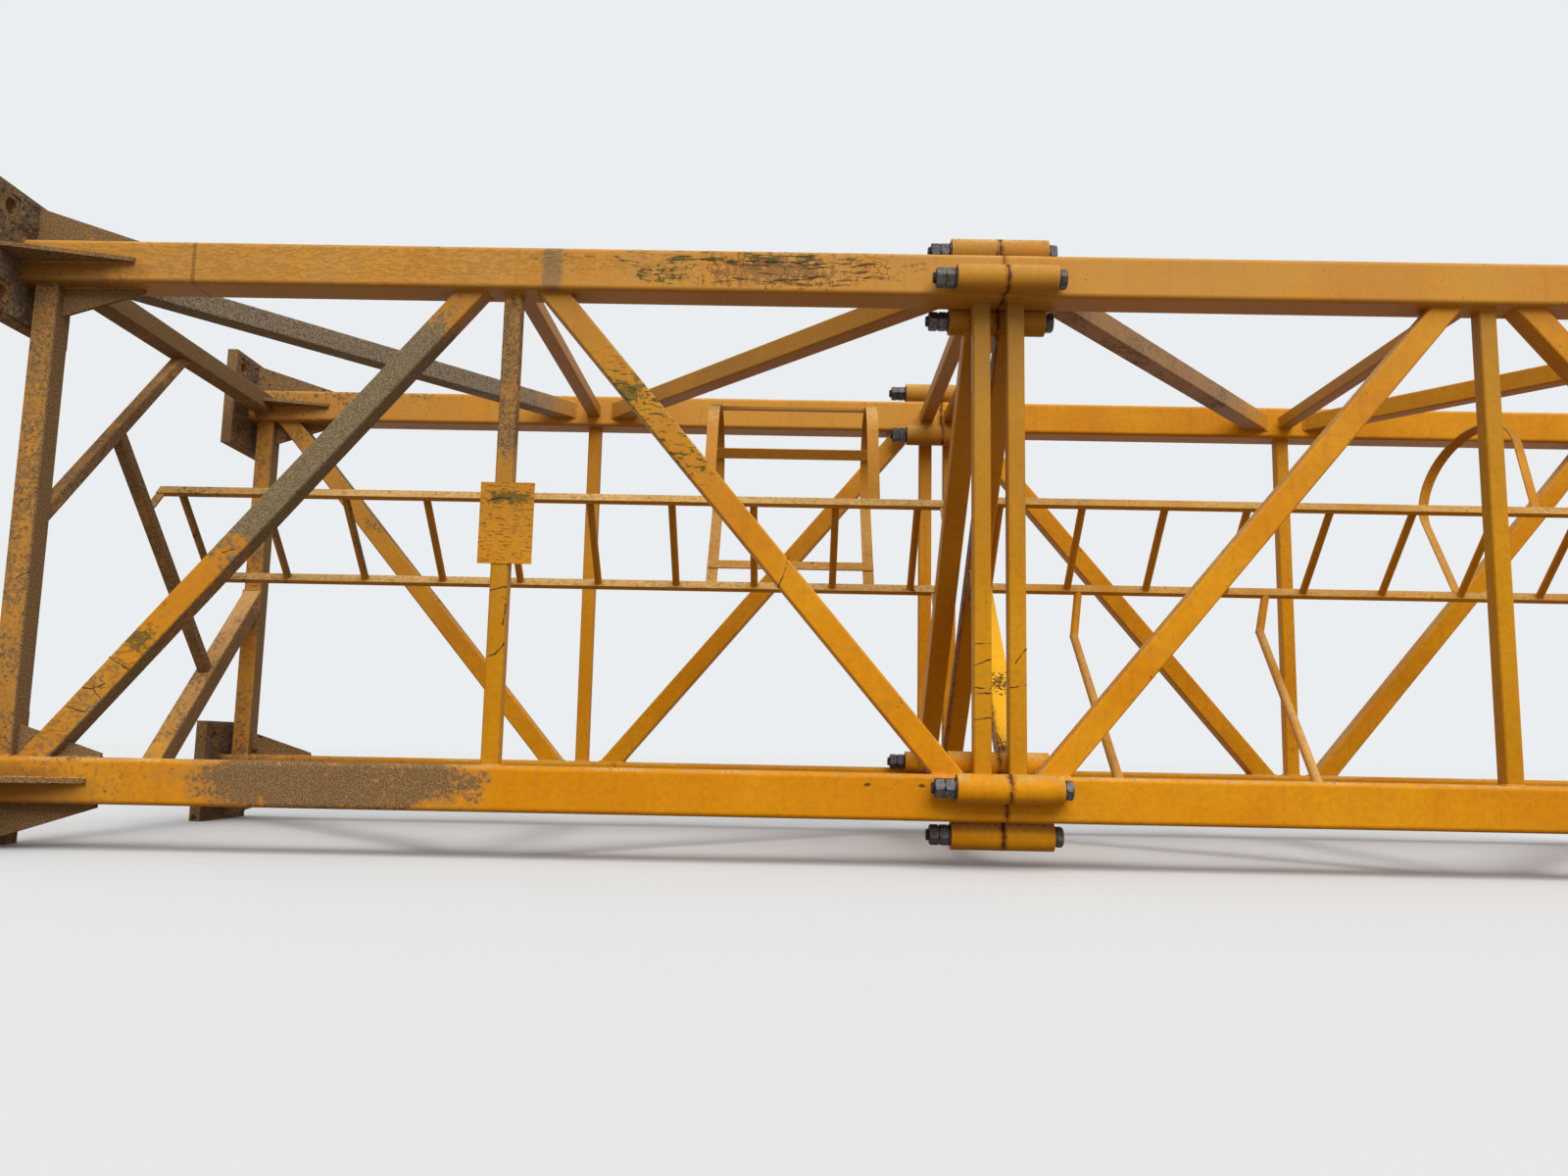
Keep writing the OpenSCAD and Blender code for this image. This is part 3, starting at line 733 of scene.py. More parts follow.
class Growers:
    """The Geometry Nodes trees that repeat or follow things."""

    def __init__(self) -> None:
        """Builds every tree once."""
        self.bead = self._bead()
        self.crust = self._crust()
        self.copies = self._copies()

    @staticmethod
    def _close(tree: Tree, given: Any, made: Any, geometry: Any, smooth: bool = True) -> None:
        """Ends a tree: real geometry, shading and material.

        Args:
            tree: The tree.
            given: The sockets of its Group Input.
            made: The sockets of its Group Output.
            geometry: The geometry to end with.
            smooth: Whether it is shaded smooth.
        """
        real = tree.add("GeometryNodeRealizeInstances", {"Geometry": geometry})
        shaded = tree.add("GeometryNodeSetShadeSmooth", {"Geometry": real, "Shade Smooth": smooth})
        dressed = tree.add("GeometryNodeSetMaterial", {"Geometry": shaded, "Material": given["Material"]})
        tree.feed(made["Geometry"], dressed)

    def _bead(self) -> NodeTree:
        """A wavy bead along edges: a weld or a crack.

        Returns:
            The tree.
        """
        inputs = {"Geometry": "Geometry", "Radius": 0.004, "Step": 0.008,
                  "Wander": 0.0, "Ripple": 0.001, "Pitch": 160.0, "Material": "Material"}
        tree, given, made = new_group("bead along edges", "GeometryNodeTree", inputs, {"Geometry": "Geometry"})
        curve = tree.add("GeometryNodeMeshToCurve", {"Mesh": given["Geometry"]})
        fine = tree.add("GeometryNodeResampleCurve", {"Curve": curve, "Length": given["Step"]}, mode="LENGTH")
        place = tree.add("GeometryNodeInputPosition")
        drift = tree.add("ShaderNodeTexNoise", {"Vector": place, "Scale": 45.0, "Detail": 3.0}).outputs["Color"]
        drift = tree.vector("SUBTRACT", drift, (0.5, 0.5, 0.5))
        moved = tree.add("GeometryNodeSetPosition", {"Geometry": fine, "Offset": tree.scaled(drift, given["Wander"])})
        width = tree.ramp(tree.noise(place, given["Pitch"], 2.0), 0.3, 0.7, 0.55, 1.35)
        sized = tree.add("GeometryNodeSetCurveRadius", {"Curve": moved, "Radius": width})
        ring = tree.add("GeometryNodeCurvePrimitiveCircle", {"Resolution": 6, "Radius": given["Radius"]})
        tube = tree.add("GeometryNodeCurveToMesh", {"Curve": sized, "Profile Curve": ring, "Fill Caps": True})
        if "Scale" in tube.inputs:
            tree.feed(tube.inputs["Scale"], width)
        bump = tree.minus(tree.noise(place, given["Pitch"], 2.0), 0.5)
        push = tree.scaled(tree.add("GeometryNodeInputNormal"), tree.times(bump, given["Ripple"]))
        rippled = tree.add("GeometryNodeSetPosition", {"Geometry": tube, "Offset": push})
        self._close(tree, given, made, rippled)
        return tree.tree

    def _crust(self) -> NodeTree:
        """Caked soil on flat patches: uneven, broken up, and feathered at the borders.

        Returns:
            The tree.
        """
        inputs = {"Geometry": "Geometry", "Level": 5, "Thickness": 0.008, "Scale": 14.0,
                  "Cover": 0.55, "Fade": 0.03, "Seed": 0.0, "Material": "Material"}
        tree, given, made = new_group("caked soil", "GeometryNodeTree", inputs, {"Geometry": "Geometry"})
        fine = tree.add("GeometryNodeSubdivideMesh", {"Mesh": given["Geometry"], "Level": given["Level"]})
        border = tree.add("FunctionNodeCompare", {"A": tree.add("GeometryNodeInputMeshEdgeNeighbors"), "B": 1.0},
                          data_type="FLOAT", operation="EQUAL")
        rim = tree.add("GeometryNodeMeshToCurve", {"Mesh": fine, "Selection": border})
        rim = tree.add("GeometryNodeCurveToMesh", {"Curve": rim})
        near = tree.add("GeometryNodeProximity", target_element="EDGES")
        tree.feed(near.inputs[0], rim.outputs[0])
        inside = tree.ramp(near.outputs["Distance"], 0.0, given["Fade"])
        place = tree.add("GeometryNodeInputPosition")
        shifted = tree.vector("ADD", place, tree.add("ShaderNodeCombineXYZ", {0: given["Seed"], 2: given["Seed"]}))
        lumps = tree.noise(shifted, given["Scale"], 5.0, 0.6)
        grains = tree.noise(shifted, tree.times(given["Scale"], 6.0), 3.0, 0.6)
        depth = tree.minus(lumps, tree.minus(1.0, given["Cover"]))
        depth = tree.plus(depth, tree.times(tree.minus(grains, 0.5), 0.35))
        depth = tree.minus(depth, tree.times(tree.minus(1.0, inside), 0.6))
        depth = tree.math("MINIMUM", tree.times(depth, 3.0), 1.0)
        push = tree.times(depth, given["Thickness"])
        offset = tree.scaled(tree.add("GeometryNodeInputNormal"), push)
        kept = tree.add("GeometryNodeCaptureAttribute", {"Geometry": fine})
        kept.capture_items.new("FLOAT", "depth")
        tree.feed(kept.inputs["depth"], depth)
        raised = tree.add("GeometryNodeSetPosition", {"Geometry": kept.outputs["Geometry"], "Offset": offset})
        thin = tree.math("LESS_THAN", kept.outputs["depth"], -0.12)
        left = tree.add("GeometryNodeDeleteGeometry", {"Geometry": raised, "Selection": thin}, domain="POINT")
        self._close(tree, given, made, left)
        return tree.tree

    def _copies(self) -> NodeTree:
        """Copies of an object on points, each turned about X by a random part of the turn.

        Returns:
            The tree.
        """
        inputs = {"Geometry": "Geometry", "Piece": "Object", "Turn": 1.0, "Material": "Material"}
        tree, given, made = new_group("turned copies", "GeometryNodeTree", inputs, {"Geometry": "Geometry"})
        piece = tree.add("GeometryNodeObjectInfo", {"Object": given["Piece"]})
        turn = tree.add("FunctionNodeRandomValue", {"Seed": 5}, data_type="FLOAT")
        tree.feed(turn.inputs[3], given["Turn"])
        tree.feed(turn.inputs[2], 0.0)
        angle = tree.add("ShaderNodeCombineXYZ", {"X": turn.outputs[1]})
        copies = tree.add("GeometryNodeInstanceOnPoints", {
            "Points": given["Geometry"], "Instance": piece.outputs["Geometry"], "Rotation": angle})
        self._close(tree, given, made, copies, smooth=False)
        return tree.tree


@dataclass
class Welds:
    """Fillet welds, collected as lines: between tubes, sleeves, gussets, plates, braces and rungs."""

    points: list[Vector] = field(default_factory=list)
    edges: list[tuple[int, int]] = field(default_factory=list)

    def line(self, *points: Vector, closed: bool = False) -> None:
        """Adds a line of weld or crack along points.

        Args:
            *points: The points it runs through.
            closed: Whether it ends where it starts.
        """
        first = len(self.points)
        self.points += points
        self.edges += [(first + i, first + i + 1) for i in range(len(points) - 1)]
        if closed:
            self.edges.append((first + len(points) - 1, first))

    def tube_end(self, face: Face, x: float, half_x: float, half_y: float, side: int) -> None:
        """Adds the weld round a tube that ends on a chord.

        Args:
            face: The mast's face.
            x: The middle of the tube's end, along the mast.
            half_x: Half its width along the mast.
            half_y: Half its width across the face.
            side: 1 at the chord above, -1 at the chord below.
        """
        ring = [(x + a * half_x, b * half_y - MAST.half_mast, side * MAST.inner) for a, b in CORNERS]
        self.line(*[MAST.place(face, *point) for point in ring], closed=True)

    def lattice(self) -> None:
        """Adds the welds of all posts and diagonals."""
        half = MAST.post_half
        base = ((MAST.foot_post_x, MAST.foot_post_half), (MAST.mid_x - MAST.section, half), (-MAST.last_post, half))
        upper = ((MAST.first_post, half), (MAST.mid_x, half), (MAST.section - MAST.last_post, half))
        for face in Face:
            for posts in (base, upper):
                for x, half in posts:
                    for side in (-1, 1):
                        self.tube_end(face, x, half, half, side)
                start, middle, end = (x for x, _ in posts)
                for top, bottom in ((middle - MAST.apex_offset, start + MAST.end_offset),
                                    (middle + MAST.apex_offset, end - MAST.end_offset)):
                    run = math.hypot(bottom - top, 2 * MAST.inner) / (2 * MAST.inner)
                    self.tube_end(face, top, MAST.diagonal_half * run, MAST.diagonal_half, 1)
                    self.tube_end(face, bottom, MAST.diagonal_half * run, MAST.diagonal_half, -1)

    def sleeves(self) -> None:
        """Adds the welds between the sleeves and the chords."""
        reach, gap, shift = MAST.half_chord + MAST.weld_rise, MAST.weld_gap, MAST.sleeve_shift
        starts = (-MAST.sleeve_length, 0.0, MAST.section - MAST.sleeve_length)
        spots = ((-reach, gap - shift), (-reach, -gap - shift), (shift - gap, reach), (shift + gap, reach))
        for face, start, (y, z) in itertools.product(Face, starts, spots):
            ends = (start + MAST.weld_short, start + MAST.sleeve_length - MAST.weld_short)
            self.line(*[MAST.on_chord(face, x, y, z) for x in ends])

    def knees(self) -> None:
        """Adds the welds of the two knee braces at the feet."""
        x, wide = MAST.foot_post_x, math.sqrt(2)
        reach = MAST.half_mast - MAST.foot_post_half - MAST.knee_sunk
        for side, half, off in ((-1, MAST.knee_half, 0.0), (1, MAST.lower_knee_half, MAST.lower_knee_y)):
            for a, b in ((side * reach, side * off), (-side * off, side * reach)):
                ring = []
                for i, j in CORNERS:
                    y, z = (a, -b + j * half * wide) if abs(a) > abs(b) else (-a + j * half * wide, -b)
                    ring.append(MAST.place(Face.FRONT, x + i * half, y, z))
                self.line(*ring, closed=True)

    def braces(self) -> None:
        """Adds the welds between the braces at the joints and the inner sleeves."""
        middle = (MAST.half_mast - MAST.inner_sleeve) * math.sqrt(2)
        slim = MAST.brace_half
        steps = [slim * (step / 3 - 1) for step in range(7)]
        pair = (Face.FRONT, Face.REAR)
        for x, faces in ((-MAST.last_post, pair), (MAST.section - MAST.last_post, pair),
                         (MAST.first_post, (*pair, Face.BOTTOM))):
            for face in faces:
                loop = []
                for along in (-1, 1):
                    for across in steps if along < 0 else reversed(steps):
                        out = middle - math.sqrt(MAST.sleeve_radius ** 2 - across ** 2)
                        y, z = (-out + across) / math.sqrt(2), (out + across) / math.sqrt(2)
                        loop.append(MAST.place(face, x + along * slim, y, z))
                self.line(*loop, closed=True)

    def ladder(self) -> None:
        """Adds the welds round the ends of the rungs."""
        for first, count, shift, way in MAST.ladders:
            for rung, side in itertools.product(range(count), (-1, 1)):
                x, across = first + way * rung * MAST.rung_pitch, shift + side * (MAST.rung_reach - MAST.rung_sunk)
                ring = []
                for step in range(10):
                    angle = math.pi * step / 5
                    up = MAST.ladder_height + MAST.rung_radius * math.sin(angle)
                    ring.append(MAST.place(Face.FRONT, x + MAST.rung_radius * math.cos(angle),
                                           (across + up) / math.sqrt(2), (up - across) / math.sqrt(2)))
                self.line(*ring, closed=True)

    def feet(self) -> None:
        """Adds the welds between chords, gussets and foot plates."""
        x, half, length, post = MAST.foot_face, MAST.half_chord, MAST.gusset_length, MAST.past_post
        for face in Face:
            self.line(*[MAST.on_chord(face, x, a * half, b * half) for a, b in CORNERS], closed=True)
            for offset in (-MAST.gusset_half, MAST.gusset_half):
                runs = ((offset, half, 0.0, length), (-half, offset, 0.0, length), (offset, -half, post, length),
                        (half, offset, post, MAST.gusset_break[0]), (half, offset, MAST.gusset_break[1], length))
                for y, z, near, far in runs:
                    self.line(*[MAST.on_chord(face, x + along, y, z) for along in (near, far)])

    def grow(self, name: str, growers: Growers, look: dict[str, float], finish: Material, slot: Slot) -> None:
        """Makes one piece of the lines that are there.

        Args:
            name: The piece's name.
            growers: The Geometry Nodes trees.
            look: The bead's values.
            finish: Its material.
            slot: Not used.
        """
        seed = object_of(name + " lines", self.points, self.edges)
        settle(grown(name, seed, growers.bead, {**look, "Material": finish}))

    def build(self, growers: Growers, paint: Material) -> None:
        """Makes all the welds as two pieces: those of the lattice, and the thinner ones of the rungs.

        Args:
            growers: The Geometry Nodes trees.
            paint: The paint over them.
        """
        self.lattice()
        self.sleeves()
        self.knees()
        self.braces()
        self.feet()
        self.grow("weld_beads", growers, WELD, paint, Slot.MAST)
        thin = Welds()
        thin.ladder()
        thin.grow("rung_welds", growers, RUNG_WELD, paint, Slot.LADDER)


@dataclass
class Cracks:
    """Cracks in the paint and dark seams, as thin rusty lines on the front members and one brace."""

    # X and Z of each line's points, under the Y of the face that it lies on
    lines: dict[float, tuple[tuple[tuple[float, float], ...], ...]] = field(default_factory=lambda: {
        -0.7622: (  # Posts
            ((-0.051, 0.553), (-0.026, 0.564), (-0.004, 0.57)),
            ((-0.051, 0.491), (-0.004, 0.489)),
            ((-0.045, 0.474), (-0.004, 0.476)),
            ((-0.051, 0.404), (-0.004, 0.409)),
            ((-0.051, 0.612), (-0.007, 0.614)),
            ((0.048, 0.54), (0.07, 0.573), (0.092, 0.602)),
            ((0.046, 0.491), (0.074, 0.497), (0.093, 0.5)),
            ((-1.403, 0.735), (-1.368, 0.745), (-1.357, 0.747)),
            ((-1.401, 0.552), (-1.377, 0.56), (-1.363, 0.574), (-1.356, 0.59)),
            ((-1.358, 0.7), (-1.359, 0.673), (-1.361, 0.64)),
        ),
        -0.7722: (  # Diagonals
            ((-2.445, 0.529), (-2.418, 0.513), (-2.387, 0.497)),
            ((-2.548, 0.391), (-2.515, 0.381), (-2.496, 0.376)),
            ((-2.51, 0.443), (-2.481, 0.441), (-2.449, 0.455)),
            ((-2.482, 0.45), (-2.475, 0.432), (-2.457, 0.415)),
            ((-2.156, 0.827), (-2.12, 0.837)),
            ((-0.571, 0.845), (-0.581, 0.801), (-0.599, 0.757)),
            ((-2.727, 0.742), (-2.705, 0.758), (-2.692, 0.765)),
        ),
        -0.7652: (  # Blank plate
            ((-1.441, 0.98), (-1.421, 0.992), (-1.384, 1.0), (-1.34, 0.997)),
        ),
        -0.7998: (  # Top chord
            ((-0.838, 1.699), (-0.765, 1.69), (-0.685, 1.695), (-0.501, 1.69)),
            ((-0.582, 1.639), (-0.535, 1.643), (-0.501, 1.649)),
        ),
    })
    on_brace: tuple[Point, ...] = (
        (0.037, -0.606, 0.3717), (0.0395, -0.618, 0.3597), (0.044, -0.64, 0.3377), (0.049, -0.66, 0.3177))

    def build(self, growers: Growers, rust: Material) -> None:
        """Makes the lines as one piece.

        Args:
            growers: The Geometry Nodes trees.
            rust: The finish of the cracks.
        """
        seams = Welds()
        for y, paths in self.lines.items():
            for path in paths:
                seams.line(*[Vector((x, y, z)) for x, z in path])
        seams.line(*[Vector(point) for point in self.on_brace])
        seams.grow("paint_cracks", growers, CRACK, rust, Slot.MAST)


@dataclass
class Bolt:
    """One long bolt of the joint with its washers, two nuts and bare thread."""

    sleeve: float = 0.141
    washer_radius: float = 0.030
    washer: float = 0.005
    flats: float = 0.025
    head: float = 0.021
    nut: float = 0.027
    thread: float = 0.009
    radius: float = 0.0165
    pitch: float = 0.004
    segments: int = 36
    rim: float = 0.0012
    chamfer: float = 0.0035
    play: float = 0.0006
    chamfered: float = 0.98
    root: float = 0.0022
    shank: float = 0.0145
    point: tuple[tuple[float, float], ...] = ((0.0, 0.0135), (0.0015, 0.0155))
    first_crest: float = 0.002

    def _rings(self, mesh: bmesh.types.BMesh, outline: Sequence[tuple[float, float]], hexagonal: bool) -> None:
        """Adds a solid of rings about X.

        Args:
            mesh: The mesh to add to.
            outline: Each ring's X and radius.
            hexagonal: Whether the radius is cut off at the six flats.
        """
        rings = []
        for x, radius in outline:
            ring = []
            for step in range(self.segments):
                angle = 2 * math.pi * step / self.segments
                limit = radius
                if hexagonal:
                    sector = (angle + math.pi / 6) % (math.pi / 3) - math.pi / 6
                    limit = min(radius, self.flats / math.cos(sector))
                ring.append(mesh.verts.new((x, limit * math.cos(angle), limit * math.sin(angle))))
            rings.append(ring)
        for near, far in zip(rings, rings[1:]):
            for step in range(self.segments):
                after = (step + 1) % self.segments
                mesh.faces.new((near[step], near[after], far[after], far[step]))
        mesh.faces.new(list(reversed(rings[0])))
        mesh.faces.new(rings[-1])

    def _nut(self, mesh: bmesh.types.BMesh, x: float, height: float) -> None:
        """Adds a chamfered hexagon.

        Args:
            mesh: The mesh to add to.
            x: Where it starts.
            height: Its height.
        """
        corner, slim, chamfer = self.flats / math.cos(math.pi / 6), self.flats * self.chamfered, self.chamfer
        middle, end = (self.flats + corner) / 2, x + height
        outline = [(x, slim), (x + chamfer / 2, middle), (x + chamfer, corner),
                   (end - chamfer, corner), (end - chamfer / 2, middle), (end, slim)]
        self._rings(mesh, outline, True)

    def build(self) -> Thing:
        """Makes the bolt along X, with the joint's plane at 0.

        Returns:
            The bolt's object.
        """
        mesh = bmesh.new()
        start, rim, wide = -self.sleeve - self.washer, self.rim, self.washer_radius
        for x in (start, self.sleeve):
            end = x + self.washer
            self._rings(mesh, [(x, wide - rim), (x + rim, wide), (end - rim, wide), (end, wide - rim)], False)
        self._nut(mesh, self.sleeve + self.washer, self.head)
        for nuts in (1, 2):
            self._nut(mesh, start - nuts * self.nut, self.nut - self.play)
        end = start - 2 * self.nut - self.thread
        outline = [(end + x, radius) for x, radius in self.point]
        x = end + self.first_crest
        while x < start - 2 * self.nut:
            outline += [(x, self.radius), (x + self.pitch / 2, self.radius - self.root)]
            x += self.pitch
        outline.append((start, self.shank))
        self._rings(mesh, outline, False)
        bmesh.ops.recalc_face_normals(mesh, faces=mesh.faces)
        data = bpy.data.meshes.new("joint bolt")
        mesh.to_mesh(data)
        mesh.free()
        return linked("joint bolt", data)


@dataclass
class Joint:
    """The bolted joint between the sections."""

    bolt: Bolt = field(default_factory=Bolt)

    def build(self, growers: Growers, steel: Material) -> None:
        """Replaces the CAD's plain bolts with threaded ones.

        Args:
            growers: The Geometry Nodes trees.
            steel: Their finish.
        """
        reach = MAST.half_chord + MAST.sleeve_radius
        spots = ((-reach, -MAST.sleeve_shift), (MAST.sleeve_shift, reach), (MAST.inner_sleeve, -MAST.inner_sleeve))
        points = [MAST.on_chord(face, 0.0, y, z) for face in Face for y, z in spots]
        piece = self.bolt.build()
        bolts = grown("threaded_bolts", object_of("bolt places", points), growers.copies,
                      {"Piece": piece, "Turn": math.pi / 3, "Material": steel})
        bpy.data.objects.remove(piece)
        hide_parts("joint_bolts")
        settle(bolts)


@dataclass
class Soil:
    """Caked soil on the feet and flakes of rust at the joint."""

    growers: Growers
    soil: Material
    rust: Material
    hole_reach: float = 0.028
    border: float = 0.002
    lift: float = 0.0002
    flake_half: float = 0.05
    flakes_from: float = -0.040
    flakes_to: float = 0.048
    flakes_lift: float = 0.0004

    def _patch(
        self, name: str, quads: Sequence[Sequence[Vector]], finish: Material, slot: Slot, **values: float
    ) -> None:
        """Grows soil or rust on a flat sheet of four-cornered cells.

        Args:
            name: The piece's name.
            quads: The corners of each cell, counter-clockwise seen from outside.
            finish: Its material.
            slot: Not used.
            **values: Values of the tree's inputs.
        """
        points = [point for quad in quads for point in quad]
        faces = [tuple(range(4 * i, 4 * i + 4)) for i in range(len(quads))]
        seed = object_of(name + " sheet", points, faces=faces)
        sheet = bmesh.new()
        sheet.from_mesh(seed.data)
        bmesh.ops.remove_doubles(sheet, verts=sheet.verts, dist=0.0001)
        sheet.to_mesh(seed.data)
        sheet.free()
        labels = {key.capitalize(): value for key, value in values.items()}
        settle(grown(name, seed, self.growers.crust, {"Material": finish, **labels}))

    def foot(self, face: Face) -> None:
        """Cakes one foot plate's outer face, but for the chord's hollow and the anchor holes.

        Args:
            face: The face whose upper chord the foot belongs to.
        """
        near, far = MAST.foot_hole - self.hole_reach, MAST.foot_hole + self.hole_reach
        chord, rim = MAST.half_chord, MAST.foot_half - self.border
        stops = (-rim, -far, -near, -chord, chord, near, far, rim)
        front = MAST.foot_face + self.lift
        quads = []
        for i, j in itertools.product(range(len(stops) - 1), repeat=2):
            if (i == 3 and j == 3) or (i in (1, 5) and j in (1, 5)):
                continue
            corners = ((i, j), (i + 1, j), (i + 1, j + 1), (i, j + 1))
            quads.append([MAST.on_chord(face, front, stops[a], stops[b]) for a, b in corners])
        self._patch("foot_soil_" + face.name.lower(), quads, self.soil, Slot.FOOT, level=5, thickness=0.011,
                    scale=13.0, cover=0.58, fade=0.010, seed=float(face.value))

    def crumbs(self) -> None:
        """Lays flakes of rust on the chords where the two sections meet, between the posts."""
        near, far = self.flakes_from, self.flakes_to
        low, high = -MAST.inner + self.flakes_lift, MAST.half_mast + MAST.half_chord + self.flakes_lift
        quads = []
        for middle, z in ((-MAST.half_mast, low), (-MAST.half_mast, high), (MAST.half_mast, low)):
            sides = (middle - self.flake_half, middle, middle + self.flake_half)
            for y0, y1 in zip(sides, sides[1:]):
                corners = ((near, y0), (far, y0), (far, y1), (near, y1))
                quads.append([MAST.place(Face.FRONT, x, y, z) for x, y in corners])
        self._patch("rust_crumbs", quads, self.rust, Slot.MAST, level=6, thickness=0.007,
                    scale=34.0, cover=0.42, fade=0.012, seed=3.0)

    def build(self) -> None:
        """Makes the soil of all four feet and the rust at the joint."""
        for face in Face:
            self.foot(face)
        self.crumbs()


@dataclass
class Studio:
    """Camera, floor and light."""

    lens: float = 27.9045
    sensor: float = 36.0
    sight: float = 200.0
    eye: Point = (-0.5529, -4.1197, 0.3052)
    yaw: float = math.radians(0.488)
    pitch: float = math.radians(7.676)
    roll: float = math.radians(-1.135)
    floor_half: float = 60.0
    floor_rough: float = 0.9
    floor_lit: Color = (0.24, 0.185, 0.12, 1.0)
    floor_seen: Color = (0.62, 0.62, 0.61, 1.0)
    sky_lit: Color = (0.94, 0.97, 1.0, 1.0)
    sky_seen: Color = (0.90, 0.93, 0.95, 1.0)
    sky_strength: float = 0.62
    sky_more_seen: float = 0.3
    sun_energy: float = 3.0
    sun_spread: float = math.radians(50)
    sun_turn: Point = (math.radians(42), 0.0, math.radians(18))

    def camera(self) -> None:
        """Makes the camera where the photograph was taken from."""
        turned = Matrix.Rotation(self.yaw, 3, "Z") @ Matrix.Rotation(self.pitch, 3, "X")
        turned = turned @ Matrix.Rotation(self.roll, 3, "Y")
        # The camera looks along its own -Z, with Y up; the turned axes are right, ahead and up
        pose = turned @ Matrix(((1, 0, 0), (0, 0, -1), (0, 1, 0)))
        data = bpy.data.cameras.new("camera")
        data.lens, data.sensor_width, data.clip_end = self.lens, self.sensor, self.sight
        camera = linked("camera", data)
        camera.matrix_world = Matrix.Translation(self.eye) @ pose.to_4x4()
        bpy.context.scene.camera = camera

    def floor(self) -> None:
        """Makes the pale floor, which throws back only a little light."""
        points = [(a * self.floor_half, b * self.floor_half, 0) for a, b in CORNERS]
        floor = object_of("floor", points, faces=[(0, 1, 2, 3)])
        material = bpy.data.materials.new("floor")
        material.use_nodes = True
        tree = Tree(material.node_tree)
        shader = material.node_tree.nodes["Principled BSDF"]
        color = tree.mix(tree.seen_by("Camera", "Glossy"), self.floor_lit, self.floor_seen)
        tree.feed(shader.inputs["Base Color"], color)
        tree.feed(shader.inputs["Roughness"], self.floor_rough)
        floor.data.materials.append(material)

    def lights(self) -> None:
        """Makes an overcast sky and one wide, soft lamp."""
        world = bpy.data.worlds.new("sky")
        bpy.context.scene.world = world
        world.use_nodes = True
        tree = Tree(world.node_tree)
        seen = tree.seen_by("Camera", "Glossy", "Transmission")
        back = world.node_tree.nodes["Background"]
        tree.feed(back.inputs["Color"], tree.mix(seen, self.sky_lit, self.sky_seen))
        tree.feed(back.inputs["Strength"], tree.plus(self.sky_strength, tree.times(seen, self.sky_more_seen)))
        lamp = bpy.data.lights.new("soft sun", "SUN")
        lamp.energy, lamp.angle = self.sun_energy, self.sun_spread
        linked("soft sun", lamp).rotation_euler = self.sun_turn

    def build(self) -> None:
        """Makes the whole studio."""
        self.camera()
        self.floor()
        self.lights()
        bpy.context.scene.view_settings.view_transform = "Standard"


CAKED = {"soil_amount": 0.6, "side_soil": 0.0, "chip_amount": 0.9, "dust_and_highlight_amount": 0.55}


